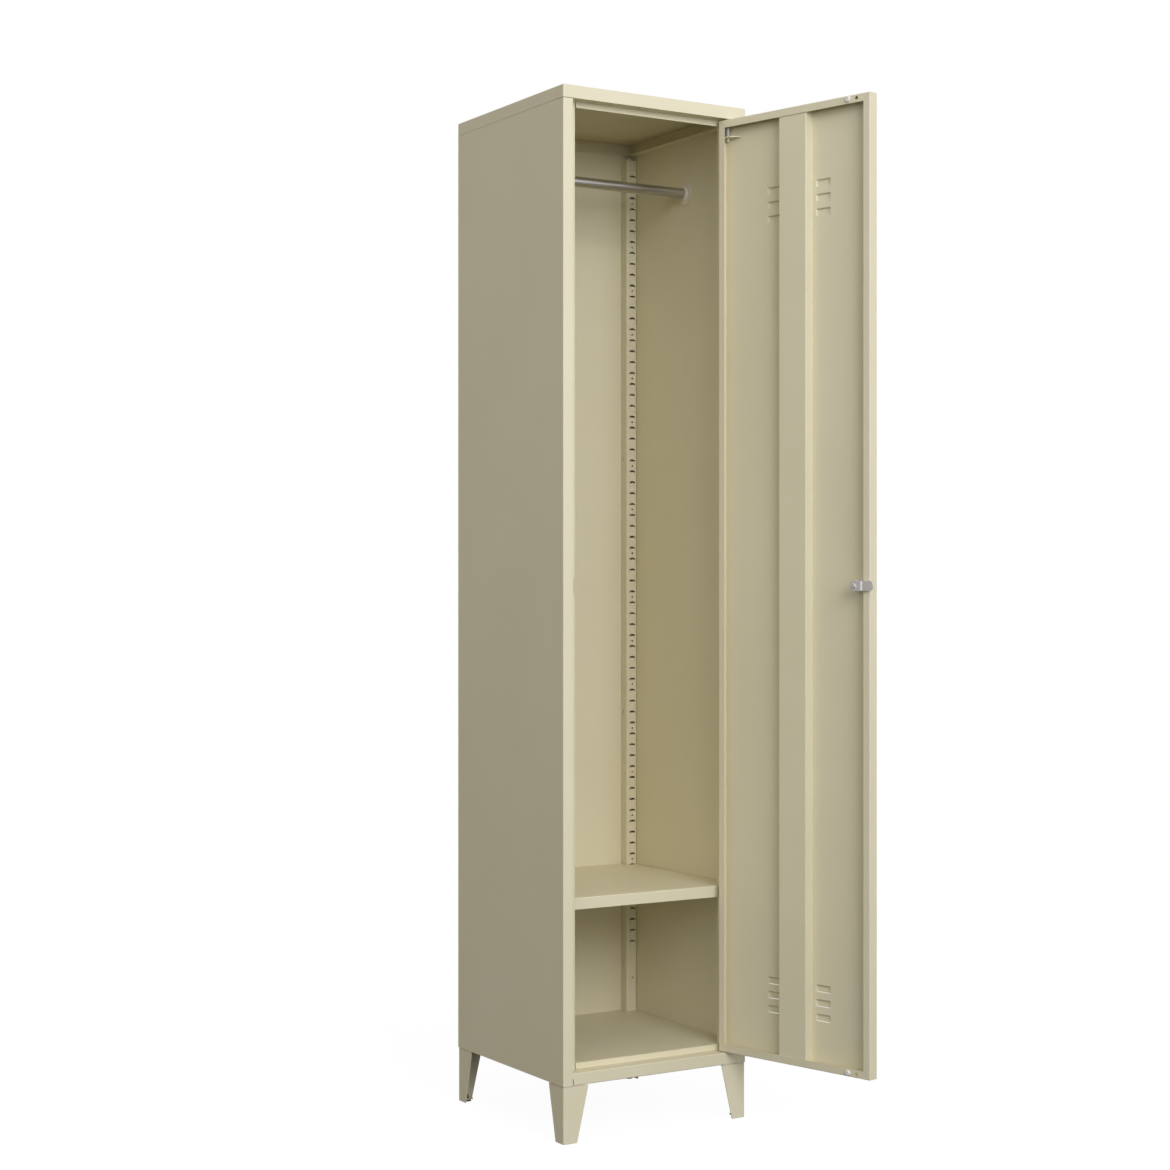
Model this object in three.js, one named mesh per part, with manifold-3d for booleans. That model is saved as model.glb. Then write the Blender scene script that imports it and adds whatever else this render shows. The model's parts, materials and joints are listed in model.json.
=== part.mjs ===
// Single-door steel locker cabinet on four tapered legs, with its door standing open.
// Millimetres, +Z up. The cabinet is laid out with X to the right, Y to the back and the
// outer front-left corner of the body over (0, 0, 0). The last lines move the whole group so
// that the middle of its footprint, open door included, stands on the origin.
import * as THREE from 'three';
import { mergeVertices } from 'three/addons/utils/BufferGeometryUtils.js';
import Module from 'manifold-3d';

const wasm = await Module();
wasm.setup();

// ---------------------------------------------------------------- driving dimensions
const WIDTH = 378;
const DEPTH = 380;
const HEIGHT = 1800;
const SHEET = 0.8;            // body, door and shelf steel
const GAP = 0.3;              // between pieces that touch
const BEND = 0.8;             // inside radius of a fold
const BEND_SEGMENTS = 3;

const LEG_TOP = 98.1;
const BODY_BOTTOM = 98.6;
const SEAM = 0.7;             // open joint between neighbouring faces that shows as a line
const CAP_DEPTH = 22;         // height of the cap's turned-down rim
const CAP_BOTTOM = HEIGHT - CAP_DEPTH;
const BODY_TOP = CAP_BOTTOM - SEAM - 0.2;

const STILE = 20;             // width of the front face beside the door
const STOP_Y = 24;            // face that the door closes towards
const STOP_INNER = 38;        // inner edge of the stop beside the opening
const STOP_HEM = 33;
const REAR_RETURN = 15;
const SILL = 120;             // top of the bottom rail
const FLOOR = 131;            // top of the floor panel
const CEILING_LIP = 1768;     // lower edge of the stop above the door
const FOOT_RETURN = 45;       // width of the side panels' bottom fold
const TOP_FOLD = 16;          // width of the side panels' top fold

const SHELF_TOP = 413;
const SHELF_HEIGHT = 20;
const SHELF_FRONT = 28;

const POST_WIDTH = 22;
const POST_LEFT = 1.3;
const POST_REAR_FACE = 358;
const POST_FRONT_FACE = 55;
const POST_TOP = 1766;
const SLOT = { width: 12.8, height: 4, pitch: 21, count: 71, firstZ: 265.6, x: 10.7 };
const CLIP_SLOT = 6;          // the slot that holds the shelf's clips, counted from the lowest

const ROD = { y: 190, z: 1677, radius: 9.5, wall: 1.1 };
const SOCKET = { radius: 21.5, base: 2.5, collar: 12.5, length: 8 };

const DOOR = { left: 21.5, right: 355.5, bottom: 121.3, top: 1775, depth: 20, flange: 13.5 };
const DOOR_OPEN = 104.2;      // degrees from closed to the modelled pose
const HINGE = { x: 345, y: 7 };
const PIN = { radius: 2.6, hole: 3, low: 1738, high: 1784, collar: 4.4, collarLow: 1766.5, collarHigh: 1768.5 };
const STIFFENER = { left: 159, right: 219, face: 18.5, foot: 6.5 };
const LOUVRE = {
  width: 31.5, height: 12.4, pitch: 25, proud: 3.4, slope: 2.6, lefts: [119.5, 227], tops: [1647, 263.7],
};
const LOUVRES_IN_A_COLUMN = 3;
const LOCK = { x: 51.2, z: 948.5 };

// ---------------------------------------------------------------- materials
function finish(color, roughness, metalness) {
  return () => new THREE.MeshStandardMaterial({ color, roughness, metalness });
}

const cream = finish(0xe4ddc3, 0.45, 0.0);
const steel = finish(0x9c9890, 0.35, 1.0);
const zinc = finish(0xb4b4b2, 0.32, 1.0);
const creamPlastic = finish(0xe6dfc8, 0.5, 0.0);
const whiteRubber = finish(0xe9e6dc, 0.6, 0.0);
const darkPlastic = finish(0x4a443a, 0.6, 0.0);
const brass = finish(0xb59a5a, 0.35, 1.0);

// ---------------------------------------------------------------- solids
const group = new THREE.Group();
const doorGroup = new THREE.Group();

// A closed geometry as a solid that can be joined and cut.
function solid(geometry) {
  const bare = geometry.clone();
  bare.deleteAttribute('normal');
  bare.deleteAttribute('uv');
  const merged = mergeVertices(bare, 1e-4);
  return new wasm.Manifold(new wasm.Mesh({
    numProp: 3,
    vertProperties: new Float32Array(merged.attributes.position.array),
    triVerts: new Uint32Array(merged.index.array),
  }));
}

// A solid back as a geometry.
function toGeometry(body) {
  const mesh = body.getMesh();
  const geometry = new THREE.BufferGeometry();
  geometry.setAttribute('position', new THREE.BufferAttribute(new Float32Array(mesh.vertProperties), 3));
  geometry.setIndex(new THREE.BufferAttribute(new Uint32Array(mesh.triVerts), 1));
  geometry.computeVertexNormals();
  return geometry;
}

function add(name, material, body, parent = group) {
  const mesh = new THREE.Mesh(toGeometry(body), material());
  mesh.name = name;
  parent.add(mesh);
  return mesh;
}

function box(x0, x1, y0, y1, z0, z1) {
  const geometry = new THREE.BoxGeometry(x1 - x0, y1 - y0, z1 - z0);
  geometry.translate((x0 + x1) / 2, (y0 + y1) / 2, (z0 + z1) / 2);
  return solid(geometry);
}

const AXIS_FRAMES = {
  // Where a shape's own x, y and extrusion directions point.
  x: new THREE.Matrix4().makeBasis(
    new THREE.Vector3(0, 1, 0), new THREE.Vector3(0, 0, 1), new THREE.Vector3(1, 0, 0)),
  y: new THREE.Matrix4().makeBasis(
    new THREE.Vector3(0, 0, 1), new THREE.Vector3(1, 0, 0), new THREE.Vector3(0, 1, 0)),
  z: new THREE.Matrix4(),
};

// Extrudes an outline along an axis from one place to another. The outline is in (Y, Z) for
// the x axis, (Z, X) for the y axis and (X, Y) for the z axis.
function extrude(shape, axis, from, to, segments = BEND_SEGMENTS) {
  const geometry = new THREE.ExtrudeGeometry(shape, {
    depth: to - from, bevelEnabled: false, curveSegments: segments,
  });
  geometry.translate(0, 0, from);
  geometry.applyMatrix4(AXIS_FRAMES[axis]);
  return solid(geometry);
}

// A body of revolution about a line along an axis, from [radius, place along the line] points.
function turned(profile, axis, centre, segments = 20) {
  const geometry = new THREE.LatheGeometry(profile.map(([r, h]) => new THREE.Vector2(r, h)), segments);
  geometry.rotateX(Math.PI / 2);
  geometry.applyMatrix4(AXIS_FRAMES[axis]);
  geometry.translate(...centre);
  return solid(geometry);
}

function cylinder(radius, axis, centre, from, to, segments = 16) {
  return turned([[0, from], [radius, from], [radius, to], [0, to]], axis, centre, segments);
}

// An outline through the points, with each corner rounded to its own radius.
function roundedShape(points, radii) {
  const shape = new THREE.Shape();
  const count = points.length;
  points.forEach(([x, y], i) => {
    const radius = Array.isArray(radii) ? radii[i] : radii;
    if (!radius) {
      if (i === 0) shape.moveTo(x, y);
      else shape.lineTo(x, y);
      return;
    }
    const corner = new THREE.Vector2(x, y);
    const into = corner.clone().sub(new THREE.Vector2(...points[(i + count - 1) % count])).normalize();
    const out = new THREE.Vector2(...points[(i + 1) % count]).sub(corner).normalize();
    const turn = Math.atan2(into.cross(out), into.dot(out));
    const side = Math.sign(turn);
    const reach = radius * Math.tan(Math.abs(turn) / 2);
    const start = corner.clone().addScaledVector(into, -reach);
    const centre = start.clone().add(new THREE.Vector2(-into.y, into.x).multiplyScalar(radius * side));
    const angle = Math.atan2(start.y - centre.y, start.x - centre.x);
    if (i === 0) shape.moveTo(start.x, start.y);
    else shape.lineTo(start.x, start.y);
    shape.absarc(centre.x, centre.y, radius, angle, angle + turn, turn < 0);
  });
  shape.closePath();
  return shape;
}

// A polygon moved in by a distance, to the left of each of its edges.
function inset(points, distance, closed = true) {
  const count = points.length;
  return points.map((point, i) => {
    const here = new THREE.Vector2(...point);
    const before = closed || i > 0 ? new THREE.Vector2(...points[(i + count - 1) % count]) : null;
    const after = closed || i < count - 1 ? new THREE.Vector2(...points[(i + 1) % count]) : null;
    const into = before ? here.clone().sub(before).normalize() : after.clone().sub(here).normalize();
    const out = after ? after.clone().sub(here).normalize() : into.clone();
    const left = new THREE.Vector2(-into.y - out.y, into.x + out.x);
    const scale = distance / (1 + into.dot(out));
    return [here.x + left.x * scale, here.y + left.y * scale];
  });
}

// The outline of a folded sheet. The path is its visible face and the sheet lies to its left.
function foldedSheet(path, thickness = SHEET, bend = BEND) {
  const back = inset(path, thickness, false);
  const last = path.length - 1;
  const frontRadii = path.map((point, i) => {
    if (i === 0 || i === last) return 0;
    return turnsLeft(path[i - 1], point, path[i + 1]) ? bend + thickness : bend;
  });
  const backRadii = path.map((point, i) => {
    if (i === 0 || i === last) return 0;
    return turnsLeft(path[i - 1], point, path[i + 1]) ? bend : bend + thickness;
  });
  return roundedShape([...path, ...back.reverse()], [...frontRadii, ...backRadii.reverse()]);
}

function turnsLeft(a, b, c) {
  return (b[0] - a[0]) * (c[1] - b[1]) - (b[1] - a[1]) * (c[0] - b[0]) > 0;
}

// The same path on the other side of the cabinet, with the sheet still to its left.
function mirrored(path) {
  return path.map(([x, y]) => [WIDTH - x, y]).reverse();
}

function mirrorPoints(points) {
  return [...points, ...mirrored(points)];
}

function joined(bodies) {
  return bodies.reduce((sum, body) => sum.add(body));
}

function cut(body, cutters) {
  return cutters.reduce((rest, cutter) => rest.subtract(cutter), body);
}

// A body on the left, or the same body on the right.
function onSide(body, side) {
  return side === 'left' ? body : body.mirror([1, 0, 0]).translate([WIDTH, 0, 0]);
}

function onEnd(body, end) {
  return end === 'front' ? body : body.mirror([0, 1, 0]).translate([0, DEPTH, 0]);
}

// ---------------------------------------------------------------- side panels
const BACK_FACE = DEPTH - SHEET - GAP;    // outer face of the back panel, inside the rear folds
const SIDES = ['left', 'right'];
const BACK_SCREW_HEIGHTS = [222, 949, 1678];
const BACK_SCREW_X = 8;
const LEG_BOLT = { inset: 28, radius: 4, hole: 4.4 };

function sidePanel() {
  const section = foldedSheet([
    [REAR_RETURN, DEPTH], [0, DEPTH], [0, 0], [STILE, 0], [STILE, STOP_Y], [STOP_INNER, STOP_Y],
    [STOP_INNER, STOP_HEM],
  ]);
  const wall = extrude(section, 'z', BODY_BOTTOM, BODY_TOP);
  const inner = SHEET - 0.1;
  const topFold = box(inner, TOP_FOLD, STOP_HEM + 2, BACK_FACE - SHEET - GAP, BODY_TOP - SHEET, BODY_TOP);
  const bottomFold = box(inner, FOOT_RETURN, inner, DEPTH - inner, BODY_BOTTOM, BODY_BOTTOM + SHEET);
  const belowSill = box(STILE + 0.05, STOP_INNER + 1, SHEET + 0.2, STOP_HEM + 1, BODY_BOTTOM + SHEET, SILL + GAP);
  const returnFoot = box(STILE - 2, STOP_INNER + 1, STOP_Y - 2, STOP_HEM + 1, BODY_BOTTOM + SHEET, SILL + GAP);
  const screwHoles = BACK_SCREW_HEIGHTS.map((z) => cylinder(2.2, 'y', [BACK_SCREW_X, 0, z], DEPTH - 2, DEPTH + 1, 8));
  const boltHoles = [LEG_BOLT.inset, DEPTH - LEG_BOLT.inset].map(
    (y) => cylinder(LEG_BOLT.hole, 'z', [LEG_BOLT.inset, y, 0], BODY_BOTTOM - 1, BODY_BOTTOM + 2, 12));
  return cut(joined([wall, topFold, bottomFold]), [belowSill, returnFoot, ...screwHoles, ...boltHoles]);
}

// The lock's tongue goes behind the left stile through this notch.
function lockNotch() {
  return box(STILE - 2, STOP_INNER + 1, 20.3, STOP_HEM + 1, LOCK.z - 13, LOCK.z + 13);
}

SIDES.forEach((side) => {
  const panel = side === 'left' ? sidePanel().subtract(lockNotch()) : onSide(sidePanel(), side);
  add(`side_panel_${side}`, cream, panel);
});

// ---------------------------------------------------------------- back, cap and rails
function backPanel() {
  const plate = box(SHEET + GAP, WIDTH - SHEET - GAP, BACK_FACE - SHEET, BACK_FACE, BODY_BOTTOM + 1.2, BODY_TOP);
  const foot = box(FOOT_RETURN + 2, WIDTH - FOOT_RETURN - 2, BACK_FACE - 20, BACK_FACE - 0.1,
    BODY_BOTTOM + 1.2, BODY_BOTTOM + 1.2 + SHEET);
  const head = box(TOP_FOLD + 1, WIDTH - TOP_FOLD - 1, BACK_FACE - 5, BACK_FACE - 0.1, BODY_TOP - SHEET, BODY_TOP);
  const screwHoles = SIDES.flatMap((side) => BACK_SCREW_HEIGHTS.map(
    (z) => onSide(cylinder(2.2, 'y', [BACK_SCREW_X, 0, z], BACK_FACE - 2, DEPTH, 8), side)));
  return cut(joined([plate, foot, head]), screwHoles);
}

// The cap's rim has a hem along each side that rests on the side panels' top folds.
function topCap() {
  const edge = 1.2;
  const outline = roundedShape([
    [edge, edge], [WIDTH - edge, edge], [WIDTH - edge, DEPTH - edge], [edge, DEPTH - edge],
  ], 0.8);
  const block = new THREE.ExtrudeGeometry(outline, {
    depth: CAP_DEPTH, bevelEnabled: true, bevelThickness: edge, bevelSize: edge, bevelSegments: 3,
    curveSegments: 3,
  });
  block.translate(0, 0, CAP_BOTTOM - edge);
  const hollow = box(SHEET, WIDTH - SHEET, SHEET, DEPTH - SHEET, CAP_BOTTOM - 5, HEIGHT - SHEET);
  const below = box(-1, WIDTH + 1, -1, DEPTH + 1, CAP_BOTTOM - 5, CAP_BOTTOM);
  const hem = box(SHEET / 2, TOP_FOLD - 3, STOP_Y + SHEET + 0.6, DEPTH - SHEET - 1, BODY_TOP + GAP,
    BODY_TOP + GAP + SHEET + 0.2);
  return joined([cut(solid(block), [hollow, below]), hem, onSide(hem, 'right')]);
}

function lipShape(left, right, low, high, radius) {
  // In (Z, X), rounded at the two lower corners.
  return roundedShape([[low, left], [high, left], [high, right], [low, right]], [radius, 0, 0, radius]);
}

function topRail() {
  const plateBottom = CAP_BOTTOM + 0.3;
  const plate = box(SHEET + GAP, WIDTH - SHEET - GAP, SHEET + GAP, STOP_Y + SHEET, plateBottom, plateBottom + SHEET);
  const lip = extrude(lipShape(STOP_INNER + 1.5, WIDTH - STOP_INNER - 2.5, CEILING_LIP, plateBottom + SHEET, 2.5),
    'y', STOP_Y, STOP_Y + SHEET);
  const pinHole = cylinder(PIN.hole, 'z', [HINGE.x, HINGE.y, 0], plateBottom - 1, plateBottom + 2, 16);
  return cut(plate.add(lip), [pinHole]);
}

function bottomRail() {
  const section = foldedSheet([[STOP_HEM, SILL], [0, SILL], [0, BODY_BOTTOM], [20, BODY_BOTTOM]]);
  const rail = extrude(section, 'x', STILE + SEAM, WIDTH - STILE - SEAM);
  const footNotch = box(STILE - 1, FOOT_RETURN + GAP, SHEET, 21, BODY_BOTTOM - 1, BODY_BOTTOM + 3);
  const pinHole = cylinder(5, 'z', [HINGE.x, HINGE.y, 0], SILL - 2, SILL + 1, 16);
  const lowCorner = box(STILE - 1, FOOT_RETURN + GAP, -1, 2, BODY_BOTTOM - 1, BODY_BOTTOM + SHEET + GAP);
  return cut(rail, [
    footNotch, onSide(footNotch, 'right'), lowCorner, onSide(lowCorner, 'right'), pinHole,
  ]);
}

add('back_panel', cream, backPanel());
add('top_cap', cream, topCap());
add('top_rail', cream, topRail());
add('bottom_rail', cream, bottomRail());

// ---------------------------------------------------------------- floor and shelf
// A flat sheet with its edges folded down all round.
function tray(outline, radii, top, height) {
  const outer = extrude(roundedShape(outline, radii), 'z', top - height, top);
  const inner = extrude(roundedShape(inset(outline, SHEET), 0), 'z', top - height - 1, top - SHEET);
  return outer.subtract(inner);
}

function floorPanel() {
  const side = SHEET + GAP;
  const clear = STOP_INNER + 0.6;
  const front = STOP_HEM + GAP;
  const back = BACK_FACE - SHEET - GAP;
  const outline = [[side, front], [WIDTH - side, front], [WIDTH - side, back], [side, back]];
  const plateTop = FLOOR - SHEET;
  const body = tray(outline, 0, FLOOR, FLOOR - BODY_BOTTOM - SHEET - GAP);
  const tongue = box(clear, WIDTH - clear, STOP_Y, STOP_HEM + 2, plateTop, FLOOR);
  const lip = extrude(lipShape(clear, WIDTH - clear - 2, SILL + GAP, FLOOR, 3), 'y', STOP_Y, STOP_Y + SHEET);
  const railRoom = box(STILE, WIDTH - STILE, STOP_Y + 2, STOP_HEM + 3, BODY_BOTTOM, SILL + GAP);
  const backFold = box(FOOT_RETURN + 1, WIDTH - FOOT_RETURN - 1, BACK_FACE - 21, BACK_FACE, BODY_BOTTOM,
    BODY_BOTTOM + 1.2 + SHEET + GAP);
  return cut(joined([body, tongue, lip]), [railRoom, backFold]);
}

function shelf() {
  const side = SHEET + 0.7;
  const post = POST_LEFT + POST_WIDTH + 1.2;
  const outline = mirrorPoints([
    [post, BACK_FACE - SHEET - 0.8], [post, POST_REAR_FACE - 1.5], [side, POST_REAR_FACE - 1.5],
    [side, POST_FRONT_FACE + 1.5], [post, POST_FRONT_FACE + 1.5], [post, STOP_HEM + 1],
    [STOP_INNER + 1, STOP_HEM + 1], [STOP_INNER + 1, SHELF_FRONT],
  ]);
  const radii = outline.map(([, y]) => (y === SHELF_FRONT ? 2 : 0));
  return tray(outline, radii, SHELF_TOP, SHELF_HEIGHT);
}

add('floor_panel', cream, floorPanel());
add('shelf', cream, shelf());

// ---------------------------------------------------------------- slotted posts and shelf clips
const WEB_SLOTS = { width: 2.2, height: 8, fromBack: 9, heights: [222, 707, 1192, 1678] };

function slotHeights() {
  return Array.from({ length: SLOT.count }, (_, i) => SLOT.firstZ + SLOT.pitch * i);
}

// A rear post on the left: a slotted face to the front, a web and folds against side and back.
function rearPost() {
  const right = POST_LEFT + POST_WIDTH;
  const back = BACK_FACE - SHEET - GAP;
  const section = foldedSheet([
    [POST_LEFT, back - 7], [POST_LEFT, POST_REAR_FACE], [right, POST_REAR_FACE], [right, back], [right - 12, back],
  ]);
  const bar = extrude(section, 'z', FLOOR + GAP, POST_TOP, 2);
  const middle = SLOT.x;
  const slots = slotHeights().map((z) => box(middle - SLOT.width / 2, middle + SLOT.width / 2,
    POST_REAR_FACE - 1, POST_REAR_FACE + 2, z - SLOT.height / 2, z + SLOT.height / 2));
  const webSlots = WEB_SLOTS.heights.map((z) => box(right - 2, right + 1, back - WEB_SLOTS.fromBack,
    back - WEB_SLOTS.fromBack + WEB_SLOTS.width, z - WEB_SLOTS.height / 2, z + WEB_SLOTS.height / 2));
  return cut(bar, [...slots, ...webSlots]);
}

// The front posts are the same bar turned to face the back, behind the front frame.
function frontPost() {
  return rearPost().mirror([0, 1, 0]).translate([0, POST_REAR_FACE + POST_FRONT_FACE, 0]);
}

// A bent hook through one slot, with a tab under the shelf.
function shelfClip() {
  const plate = 1.2;
  const top = SHELF_TOP - SHELF_HEIGHT - GAP;
  const hookBack = POST_REAR_FACE + SHEET + GAP + plate;
  const tab = box(5.5, 16, POST_REAR_FACE - 20, hookBack, top - plate, top);
  const hook = box(5.5, 16, hookBack - plate, hookBack, top - 10, top);
  const brace = box(5.5, 16, POST_REAR_FACE - GAP - plate, POST_REAR_FACE - GAP, top - 14, top);
  return joined([tab, hook, brace]);
}

const CLIP_HEIGHT = SLOT.firstZ + SLOT.pitch * CLIP_SLOT;
console.assert(Math.abs(CLIP_HEIGHT - (SHELF_TOP - SHELF_HEIGHT)) < SLOT.height / 2);

SIDES.forEach((side) => {
  add(`post_rear_${side}`, cream, onSide(rearPost(), side));
  add(`post_front_${side}`, cream, onSide(frontPost(), side));
  const frontClip = shelfClip().mirror([0, 1, 0]).translate([0, POST_REAR_FACE + POST_FRONT_FACE, 0]);
  add(`shelf_clip_rear_${side}`, zinc, onSide(shelfClip(), side));
  add(`shelf_clip_front_${side}`, zinc, onSide(frontClip, side));
});

// ---------------------------------------------------------------- hanging rod
function rodSocket() {
  const { radius, base, collar, length } = SOCKET;
  const bore = ROD.radius + GAP;
  return turned([
    [0, 0], [radius, 0], [radius - 1, base], [collar, base], [collar - 0.5, length], [bore, length],
    [bore, base], [0, base],
  ], 'x', [SHEET + GAP, ROD.y, ROD.z], 24);
}

const rodEnd = SHEET + GAP + SOCKET.base + GAP;
const rodInside = ROD.radius - ROD.wall;
add('hanging_rod', steel, turned([
  [rodInside, rodEnd], [ROD.radius, rodEnd], [ROD.radius, WIDTH - rodEnd], [rodInside, WIDTH - rodEnd],
  [rodInside, rodEnd],
], 'x', [0, ROD.y, ROD.z], 24));
SIDES.forEach((side) => add(`rod_socket_${side}`, creamPlastic, onSide(rodSocket(), side)));

// ---------------------------------------------------------------- legs and levellers
const LEG = { outer: 1, topWidth: 50, bottomWidth: 28, sheet: 1.5, foot: 0.3 };
const LEVELLER = { radius: 7.5, disc: 2.6, stud: 2.5, height: 13, inset: 12.5, tab: 4, tabWidth: 20.5 };

// The front-left leg.
function leg() {
  const { outer, topWidth, bottomWidth, sheet, foot } = LEG;
  const section = foldedSheet([
    [outer, topWidth], [outer, outer], [topWidth, outer],
  ], sheet, 0.8);
  const angle = extrude(section, 'z', foot, LEG_TOP - SEAM, 4);
  const taper = new THREE.Shape();
  taper.moveTo(bottomWidth, foot - 1);
  taper.lineTo(topWidth, LEG_TOP - 3);
  taper.lineTo(topWidth + 5, LEG_TOP - 3);
  taper.lineTo(topWidth + 5, foot - 1);
  taper.closePath();
  const sideTaper = extrude(taper, 'x', outer - 1, outer + sheet + 1);
  const frontTaper = sideTaper.mirror([1, -1, 0]);
  const plate = box(outer + 1, 46, outer + 1, 46, LEG_TOP - sheet, LEG_TOP);
  const tabEdge = outer + LEVELLER.tabWidth;
  const tab = box(outer + 1, tabEdge, outer + 1, tabEdge, LEVELLER.tab, LEVELLER.tab + sheet);
  const boltHole = cylinder(LEG_BOLT.hole, 'z', [LEG_BOLT.inset, LEG_BOLT.inset, 0], LEG_TOP - 4, LEG_TOP + 1, 12);
  const studHole = cylinder(LEVELLER.stud + GAP, 'z', [LEVELLER.inset, LEVELLER.inset, 0], LEVELLER.tab - 1,
    LEVELLER.tab + 3, 12);
  return cut(joined([angle, plate, tab]), [sideTaper, frontTaper, boltHole, studHole]);
}

function hexagon(acrossFlats, x, y) {
  const radius = acrossFlats / Math.sqrt(3);
  const points = Array.from({ length: 6 }, (_, i) => {
    const angle = (i * Math.PI) / 3;
    return [x + radius * Math.cos(angle), y + radius * Math.sin(angle)];
  });
  return roundedShape(points, 0);
}

function leveller() {
  const { radius, disc, stud, height, inset: place } = LEVELLER;
  return turned([
    [0, 0], [radius - 0.8, 0], [radius, 0.8], [radius - 1, disc], [stud, disc], [stud, height], [0, height],
  ], 'z', [place, place, 0], 16);
}

function legBolt() {
  const place = LEG_BOLT.inset;
  const headTop = LEG_TOP - LEG.sheet - GAP;
  return extrude(hexagon(13, place, place), 'z', headTop - 5, headTop)
    .add(cylinder(LEG_BOLT.radius, 'z', [place, place, 0], headTop - 1, BODY_BOTTOM + 12, 12));
}

['front', 'rear'].forEach((end) => SIDES.forEach((side) => {
  const place = (body) => onSide(onEnd(body, end), side);
  add(`leg_${end}_${side}`, cream, place(leg()));
  add(`leg_bolt_${end}_${side}`, zinc, place(legBolt()));
  add(`leveller_${end}_${side}`, darkPlastic, place(leveller()));
}));

// ---------------------------------------------------------------- screws in the back
function panScrew(x, z) {
  const seat = DEPTH + GAP;
  return turned([
    [0, seat - 8], [1.9, seat - 8], [1.9, seat], [4, seat], [3.6, seat + 1.4], [0, seat + 2],
  ], 'y', [x, 0, z], 8);
}

SIDES.forEach((side) => BACK_SCREW_HEIGHTS.forEach((z, i) => {
  add(`back_screw_${side}_${i + 1}`, zinc, onSide(panScrew(BACK_SCREW_X, z), side));
}));

// ---------------------------------------------------------------- door, laid out closed
const BUMPER = { x: 67, hole: 3.1 };
const SPARE_HOLE = { x: 49.5, radius: 3.15 };
const FLANGE_CENTRES = { top: DOOR.top - 6.2, bottom: DOOR.bottom + 6.2 };

// A pressed louvre: its hood slopes out of the door's face and opens along the lower edge. With
// a margin of one sheet this is the room inside the hood.
function louvreHood(left, top, margin) {
  const inside = SHEET + margin / 4;
  const outside = margin - LOUVRE.proud;
  const high = top - margin * 1.5;
  const low = top - LOUVRE.height - margin / 8;
  const hood = roundedShape([
    [inside, high], [0, high], [outside, top - LOUVRE.slope], [outside, low], [inside, low],
  ], 0);
  return extrude(hood, 'x', left + margin, left + LOUVRE.width - margin);
}

function louvrePlaces() {
  return LOUVRE.tops.flatMap((top) => LOUVRE.lefts.flatMap((left) => Array.from(
    { length: LOUVRES_IN_A_COLUMN }, (_, i) => [left, top - LOUVRE.pitch * i])));
}

function doorPanel() {
  const { left, right, bottom, top, depth, flange } = DOOR;
  const edge = 1.5;
  const outline = roundedShape([
    [bottom + edge, left + edge], [top - edge, left + edge], [top - edge, right - edge],
    [bottom + edge, right - edge],
  ], 0.5);
  const pan = new THREE.ExtrudeGeometry(outline, {
    depth: depth - 2 * edge, bevelEnabled: true, bevelThickness: edge, bevelSize: edge, bevelSegments: 3,
    curveSegments: 2,
  });
  pan.translate(0, 0, edge);
  pan.applyMatrix4(AXIS_FRAMES.y);
  const hollow = box(left + SHEET, right - SHEET, SHEET, depth - SHEET, bottom + SHEET, top - SHEET);
  const mouth = box(left + flange, right - flange, depth - 2, depth + 1, bottom + flange, top - flange);
  const holes = Object.values(FLANGE_CENTRES).flatMap((z) => [
    cylinder(BUMPER.hole, 'y', [BUMPER.x, 0, z], depth - 2, depth + 1, 16),
    cylinder(SPARE_HOLE.radius, 'y', [SPARE_HOLE.x, 0, z], depth - 2, depth + 1, 16),
  ]);
  const pinHoles = [bottom, top].map((z) => cylinder(PIN.hole, 'z', [HINGE.x, HINGE.y, 0], z - 3, z + 3, 16));
  const lockHole = cylinder(LOCK_BODY.radius + GAP, 'y', [LOCK.x, 0, LOCK.z], -1, SHEET + 1, 24);
  const hoods = louvrePlaces().map(([x, z]) => louvreHood(x, z, 0));
  const hoodRoom = louvrePlaces().map(([x, z]) => louvreHood(x, z, SHEET));
  const body = joined([cut(solid(pan), [hollow, mouth]), ...hoods]);
  return cut(body, [...hoodRoom, ...mitres(), ...holes, ...pinHoles, lockHole]);
}

// Saw-thin mitre seams across the inner flanges at the four corners.
function mitres() {
  const { left, right, bottom, top, depth, flange } = DOOR;
  const seam = new THREE.BoxGeometry(0.4, 2, flange * Math.SQRT2 - 1);
  return [[left, bottom, 1], [right, bottom, -1], [left, top, -1], [right, top, 1]].map(([x, z, lean]) => {
    const blade = seam.clone();
    blade.rotateY((lean * Math.PI) / 4);
    const inX = x === left ? flange / 2 + 0.2 : -flange / 2 - 0.2;
    const inZ = z === bottom ? flange / 2 + 0.2 : -flange / 2 - 0.2;
    blade.translate(x + inX, depth, z + inZ);
    return solid(blade);
  });
}

function doorStiffener() {
  const { left, right, face, foot } = STIFFENER;
  const back = 2 * SHEET + GAP;
  const section = foldedSheet([
    [right + foot, back], [right, back], [right, face], [left, face], [left, back], [left - foot, back],
  ]);
  return extrude(section, 'z', DOOR.bottom + SHEET + GAP, DOOR.top - SHEET - GAP);
}

const LOCK_BODY = { radius: 9, bezel: 12, proud: 2.4, length: 23.4 };
const CAM = { width: 16.5, thickness: 2, base: 24, tongue: 22.5, tip: 12.8, crank: 36.5 };

function lockHousing() {
  const { radius, bezel, proud, length } = LOCK_BODY;
  return turned([
    [5.5, -proud], [bezel - 1.2, -proud], [bezel, -proud + 1], [bezel, -GAP], [radius, -GAP],
    [radius, length], [5.5, length], [5.5, -proud],
  ], 'y', [LOCK.x, 0, LOCK.z], 20);
}

function lockPlug() {
  const { proud, length } = LOCK_BODY;
  const plug = turned([
    [0, -proud + 0.4], [5.2, -proud + 0.4], [5.2, length + 0.3], [0, length + 0.3],
  ], 'y', [LOCK.x, 0, LOCK.z], 16);
  const keyway = box(LOCK.x - 0.7, LOCK.x + 0.7, -proud - 1, 12, LOCK.z - 3.6, LOCK.z + 3.6);
  return plug.subtract(keyway);
}

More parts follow.
